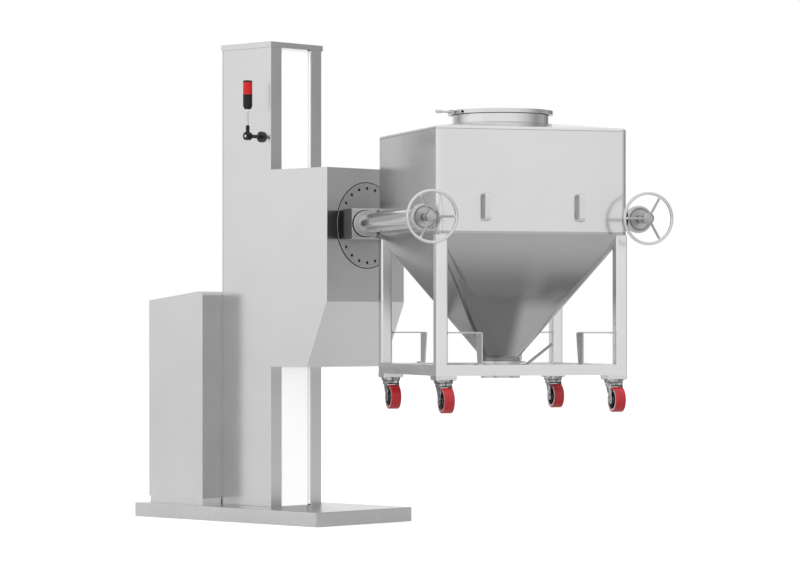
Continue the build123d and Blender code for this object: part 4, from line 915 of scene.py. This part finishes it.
def eaves_seam():
    """Straight beads along the four walls' tops and a quarter turn at each corner."""
    wall, corner_radius, seam_z, section = 0.5002, 0.030, 2.0115, 0.0021
    corner_at = (wall - corner_radius, wall - corner_radius, 0)
    straight = 2 * (wall - corner_radius)
    beads = []
    for step in range(4):
        quarter = Matrix.Rotation(math.pi / 2 * step, 4, "Z")
        run = placed(bead(straight, section), stand((wall, corner_radius - wall, 0), (0, 1, 0)))
        turn = moved(bead_corner(corner_radius, section * 0.85), corner_at)
        for part in (run, turn):
            beads.append(placed(part, stand(bin_point(0, 0, seam_z), UP, ACROSS) @ quarter))
    make_piece("eaves_seam", beads, "bin", "satin_steel", WELD_STEEL)


# Casters: the swivel axis lies CASTER_U out on both directions, the wheel CASTER_TRAIL in front of it

CASTER_U = 0.447
CASTER_TRAIL = 0.042
WHEEL_Z = 0.6745


def caster_plate_bolts():
    """Four bolts through each caster's plate, with their heads under it."""
    half_pitch, plate_under = 0.0415, 0.777
    bolts = []
    for _, su, sn in CORNERS:
        for du in (-half_pitch, half_pitch):
            for dn in (-half_pitch, half_pitch):
                at = bin_point(su * CASTER_U + du, sn * CASTER_U + dn, plate_under)
                bolts.append(placed(hex_head(0.013, 0.0055), stand(at, (0, 0, -1))))
    make_piece("caster_plate_bolts", bolts, "bin", "zinc_steel")


def wheel_core(corner, su, sn):
    """Black dished core with five ribs on each face of the wheel."""
    ribs, first_angle = 5, 0.3
    rib_length, rib_width, rib_height, rib_edge = 0.0245, 0.0060, 0.0090, 0.0012
    rib_middle, rib_out = 0.0330, 0.0165
    hub_at = bin_point(su * CASTER_U, sn * CASTER_U - CASTER_TRAIL, WHEEL_Z)
    cores = []
    for face in (-1, 1):
        dish = turned([
            (0.0172, 0.0052), (0.0172, 0.0235), (0.0215, 0.0235), (0.0235, 0.0150), (0.0400, 0.0120),
            (0.0440, 0.0200), (0.0472, 0.0205), (0.0472, 0.0052),
        ], 40)
        cores.append(placed(dish, stand(hub_at, ACROSS * face)))
        for step in range(ribs):
            rib = moved(block(rib_length, rib_width, rib_height, rib_edge), (rib_middle, 0, rib_out))
            turn = Matrix.Rotation(2 * math.pi * step / ribs + first_angle, 4, "Z")
            cores.append(placed(rib, stand(hub_at, ACROSS * face) @ turn))
    make_piece(f"{corner}_wheel_core", cores, f"{corner}_wheel", "black_plastic", BLACK_CORE)


def fork_shade_pieces(corner, su, sn):
    """Black ring at the swivel bearing and black block under the fork's head: painted shade."""
    bearing_radius, bearing_z = 0.0468, 0.7602
    guard_front, guard_z = 0.0395, 0.7418
    pivot = bin_point(su * CASTER_U, sn * CASTER_U, 0.0)
    dust_shade = moved(ring(bearing_radius, 0.0016, 48), pivot + UP * bearing_z)
    guard_at = pivot - BACKWARD * guard_front + UP * guard_z
    guard_shade = placed(block(0.056, 0.017, 0.0062, 0.001), stand(guard_at, UP, ACROSS))
    make_piece(f"{corner}_fork_shade_pieces", [dust_shade, guard_shade], f"{corner}_fork", "black_plastic", BLACK_SHADE)


def grease_nipple(corner, su, sn):
    """Grease nipple on the back of the fork's head."""
    nipple = turned([
        (0, 0), (0.0040, 0), (0.0040, 0.0030), (0.0025, 0.0035), (0.0025, 0.0065),
        (0.0033, 0.0080), (0.0015, 0.0100), (0, 0.0100),
    ], 16)
    head_half, head_z = 0.031, 0.7520
    head_back = bin_point(su * CASTER_U, sn * CASTER_U + head_half, head_z)
    make_piece(
        f"{corner}_grease_nipple", [placed(nipple, stand(head_back, BACKWARD))], f"{corner}_fork",
        "zinc_steel", FINISHES["guide_steel"],
    )


# Outlet: profiles of radius and height above the floor

def outlet_clamp():
    """Bright clamp ring round the valve's top, with its bolt."""
    clamp = turned([(0.0952, 0.8525), (0.1060, 0.8535), (0.1060, 0.8625), (0.1002, 0.8635)], 72)
    bolt_u, bolt_n, bolt_z = 0.060, 0.0885, 0.858
    bolt = placed(hex_head(0.010, 0.030), stand(bin_point(bolt_u, bolt_n, bolt_z), ACROSS))
    make_piece("outlet_clamp", [moved(clamp, BIN_MIDDLE), bolt], "bin", "polished_steel")


def outlet_packing():
    """Sheet band between the clamp ring and the hopper."""
    packing = turned([
        (0.1002, 0.8636), (0.1012, 0.8640), (0.1012, 0.8748), (0.0965, 0.8816), (0.0950, 0.8818),
    ], 72)
    make_piece("outlet_packing", [moved(packing, BIN_MIDDLE)], "bin", "satin_steel", BIN_SHEET)


# Lid and its clamp

def out_from_middle(degrees):
    """Way out from the bin's middle, by bearing from ACROSS towards BACKWARD."""
    angle = math.radians(degrees)
    return ACROSS * math.cos(angle) + BACKWARD * math.sin(angle)


def neck_rim_shade_ring():
    """Dark ring under the neck's rim: painted shade."""
    radius, section, z = 0.2461, 0.0013, 2.1122
    groove = moved(ring(radius, section, 120), bin_point(0, 0, z))
    make_piece("neck_rim_shade_ring", [groove], "bin", "dark_spacer", BLACK_SHADE)


def lid_pivot_shade_disc():
    """Black disc on the end of the pin that the clamp's lever turns on: painted shade of a socket."""
    bearing, pin_out, pin_half, pin_z = 193, 0.276, 0.0221, 2.122
    pin_way = out_from_middle(bearing + 90)
    at = BIN_MIDDLE + out_from_middle(bearing) * pin_out + pin_way * pin_half + UP * pin_z
    socket = turned([(0, 0), (0.0043, 0), (0.0043, 0.0008), (0.0030, 0.0012), (0, 0.0012)], 20)
    make_piece("lid_pivot_shade_disc", [placed(socket, stand(at, pin_way))], "lever", "dark_spacer", BLACK_SHADE)


def lid_band_bolt():
    """Bolt in the clamp's band, beside the lever."""
    bearing, band_radius, z = 206, 0.2680, 2.1225
    way = out_from_middle(bearing)
    bolt = placed(hex_head(0.010, 0.006), stand(BIN_MIDDLE + way * band_radius + UP * z, way))
    make_piece("lid_band_bolt", [bolt], "lid", "dark_spacer", FINISHES["black_screw"])


glowing_slot_liners()
mast_foot_welds()
back_panel_screws()
cap_screws()
lamp_flange_screws()
lamp_pole_sleeve()
lamp_lens_bands()
lamp_knuckle_screw()
door_louvres()
disc_gap_shade()
side_cover()
arm_trim()
frame_welds()
leg_top_welds()
shell_welds()
eaves_seam()
caster_plate_bolts()
for corner, su, sn in CORNERS:
    wheel_core(corner, su, sn)
    fork_shade_pieces(corner, su, sn)
    grease_nipple(corner, su, sn)
outlet_clamp()
outlet_packing()
neck_rim_shade_ring()
lid_pivot_shade_disc()
lid_band_bolt()


# Studio floor: it keeps the object's shadow, and a glow that only camera and mirror rays see makes it white

FLOOR_RADIUS = 60.0
FLOOR_DROP = 0.0005
FLOOR_TONE = 0.50
FLOOR_GLOW = 0.70
FLOOR_MIRRORED = 0.30


def floor_material():
    material = bpy.data.materials.new("pale studio floor")
    material.use_nodes = True
    tree = material.node_tree
    shader = tree.nodes["Principled BSDF"]
    shader.inputs["Base Color"].default_value = (FLOOR_TONE, FLOOR_TONE, FLOOR_TONE, 1)
    shader.inputs["Roughness"].default_value = 0.9
    shader.inputs["Specular IOR Level"].default_value = 0.1
    rays = place(tree, "ShaderNodeLightPath", -700, -200)
    share = place(tree, "ShaderNodeMath", -480, -200, operation="MULTIPLY_ADD")
    tree.links.new(rays.outputs["Is Glossy Ray"], share.inputs[0])
    share.inputs[1].default_value = FLOOR_MIRRORED
    tree.links.new(rays.outputs["Is Camera Ray"], share.inputs[2])
    strength = place(tree, "ShaderNodeMath", -400, -350, operation="MULTIPLY")
    tree.links.new(share.outputs[0], strength.inputs[0])
    strength.inputs[1].default_value = FLOOR_GLOW
    glow = place(tree, "ShaderNodeEmission", -250, -200)
    glow.inputs["Color"].default_value = (1, 1, 1, 1)
    tree.links.new(strength.outputs[0], glow.inputs["Strength"])
    both = place(tree, "ShaderNodeAddShader", 200, 0)
    tree.links.new(shader.outputs[0], both.inputs[0])
    tree.links.new(glow.outputs[0], both.inputs[1])
    tree.links.new(both.outputs[0], tree.nodes["Material Output"].inputs["Surface"])
    return material


def build_floor():
    shape = bmesh.new()
    bmesh.ops.create_circle(shape, cap_ends=True, segments=96, radius=FLOOR_RADIUS)
    data = bpy.data.meshes.new("floor")
    shape.to_mesh(data)
    shape.free()
    data.materials.append(floor_material())
    floor = bpy.data.objects.new("floor", data)
    floor.location = (0, 0, -FLOOR_DROP)
    bpy.context.scene.collection.objects.link(floor)


# Studio room: brightness of its walls by bearing, in degrees from +X towards +Y, and of its ceiling

ROOM_WALLS = (
    (-180, 0.95), (-135, 0.95), (-102, 0.93), (-75, 0.70), (-43.6, 0.31), (-14, 0.48),
    (6, 0.22), (25, 0.25), (38, 0.97), (58, 0.97), (77, 0.69), (90, 0.54),
    (104, 0.34), (122, 0.75), (136, 1.0), (180, 1.0),
)
ROOM_CEILING = 0.98
CEILING_STARTS, CEILING_FULL = 0.35, 0.85


def walls_by_bearing(tree, direction):
    """Color of the room's walls, from the direction that a ray leaves in."""
    bearing = place(tree, "ShaderNodeMath", -1000, -100, operation="ARCTAN2")
    tree.links.new(direction.outputs["Y"], bearing.inputs[0])
    tree.links.new(direction.outputs["X"], bearing.inputs[1])
    turn = place(tree, "ShaderNodeMapRange", -800, -100)
    tree.links.new(bearing.outputs[0], turn.inputs["Value"])
    turn.inputs["From Min"].default_value = -math.pi
    turn.inputs["From Max"].default_value = math.pi
    walls = place(tree, "ShaderNodeValToRGB", -600, -100, "walls of the studio by bearing")
    spots = walls.color_ramp.elements
    while len(spots) < len(ROOM_WALLS):
        spots.new(1.0)
    for spot, (degrees, level) in zip(spots, ROOM_WALLS):
        spot.position = (degrees + 180) / 360
        spot.color = (level, level, level, 1)
    tree.links.new(turn.outputs["Result"], walls.inputs["Fac"])
    return walls.outputs["Color"]


def plain_background(tree, x, y):
    background = place(tree, "ShaderNodeBackground", x, y)
    background.inputs["Color"].default_value = (1, 1, 1, 1)
    background.inputs["Strength"].default_value = 1.0
    return background


def build_world():
    """The room lights and is mirrored; camera and transmission rays see plain white."""
    world = bpy.data.worlds.new("studio")
    bpy.context.scene.world = world
    world.use_nodes = True
    tree = world.node_tree
    tree.nodes.clear()
    where = place(tree, "ShaderNodeTexCoord", -1400, -100)
    direction = place(tree, "ShaderNodeSeparateXYZ", -1200, -100)
    tree.links.new(where.outputs["Generated"], direction.inputs["Vector"])
    rise = place(tree, "ShaderNodeMapRange", -600, -400)
    tree.links.new(direction.outputs["Z"], rise.inputs["Value"])
    rise.inputs["From Min"].default_value = CEILING_STARTS
    rise.inputs["From Max"].default_value = CEILING_FULL
    ceiling = place(tree, "ShaderNodeMix", -250, -150, data_type="RGBA")
    tree.links.new(rise.outputs["Result"], ceiling.inputs["Factor"])
    tree.links.new(walls_by_bearing(tree, direction), ceiling.inputs["A"])
    ceiling.inputs["B"].default_value = (ROOM_CEILING, ROOM_CEILING, ROOM_CEILING, 1)
    room = plain_background(tree, 100, -100)
    tree.links.new(ceiling.outputs["Result"], room.inputs["Color"])
    white = plain_background(tree, 100, 120)

    rays = place(tree, "ShaderNodeLightPath", -200, 300)
    seen = place(tree, "ShaderNodeMath", 250, 300, operation="MAXIMUM")
    tree.links.new(rays.outputs["Is Camera Ray"], seen.inputs[0])
    tree.links.new(rays.outputs["Is Transmission Ray"], seen.inputs[1])
    choose = place(tree, "ShaderNodeMixShader", 500, 0)
    tree.links.new(seen.outputs[0], choose.inputs["Fac"])
    tree.links.new(room.outputs[0], choose.inputs[1])
    tree.links.new(white.outputs[0], choose.inputs[2])
    out = place(tree, "ShaderNodeOutputWorld", 900, 0)
    tree.links.new(choose.outputs[0], out.inputs["Surface"])


def soft_lamp(name, at, look, size, watts):
    """Square softbox that lights surfaces without showing in them."""
    data = bpy.data.lights.new(name, "AREA")
    data.shape = "SQUARE"
    data.size = size
    data.energy = watts
    lamp = bpy.data.objects.new(name, data)
    lamp.location = at
    way = Vector(look) - Vector(at)
    lamp.rotation_euler = way.to_track_quat("-Z", "Y").to_euler()
    lamp.visible_glossy = False
    bpy.context.scene.collection.objects.link(lamp)


def build_camera():
    data = bpy.data.cameras.new("camera")
    data.sensor_fit = "HORIZONTAL"
    data.sensor_width = 36.0
    data.lens = FOCAL_PX * data.sensor_width / VIEW_WIDTH
    data.shift_x = (VIEW_WIDTH / 2 - AXIS_PX[0]) / VIEW_WIDTH
    data.shift_y = (AXIS_PX[1] - VIEW_HEIGHT / 2) / VIEW_WIDTH
    data.clip_end = 200.0
    camera = bpy.data.objects.new("camera", data)
    camera.location = CAMERA_AT
    camera.rotation_euler = (math.radians(90), 0, math.radians(CAMERA_AZIMUTH))
    bpy.context.scene.collection.objects.link(camera)
    bpy.context.scene.camera = camera


build_floor()
build_world()
soft_lamp("overhead softbox", at=(-1.5, -0.5, 7.5), look=(0, -0.8, 1.0), size=8.0, watts=170)
soft_lamp("left softbox", at=(-8.5, 1.0, 4.5), look=(0, -0.8, 1.2), size=6.8, watts=120)
build_camera()
bpy.context.scene.view_settings.view_transform = "Standard"
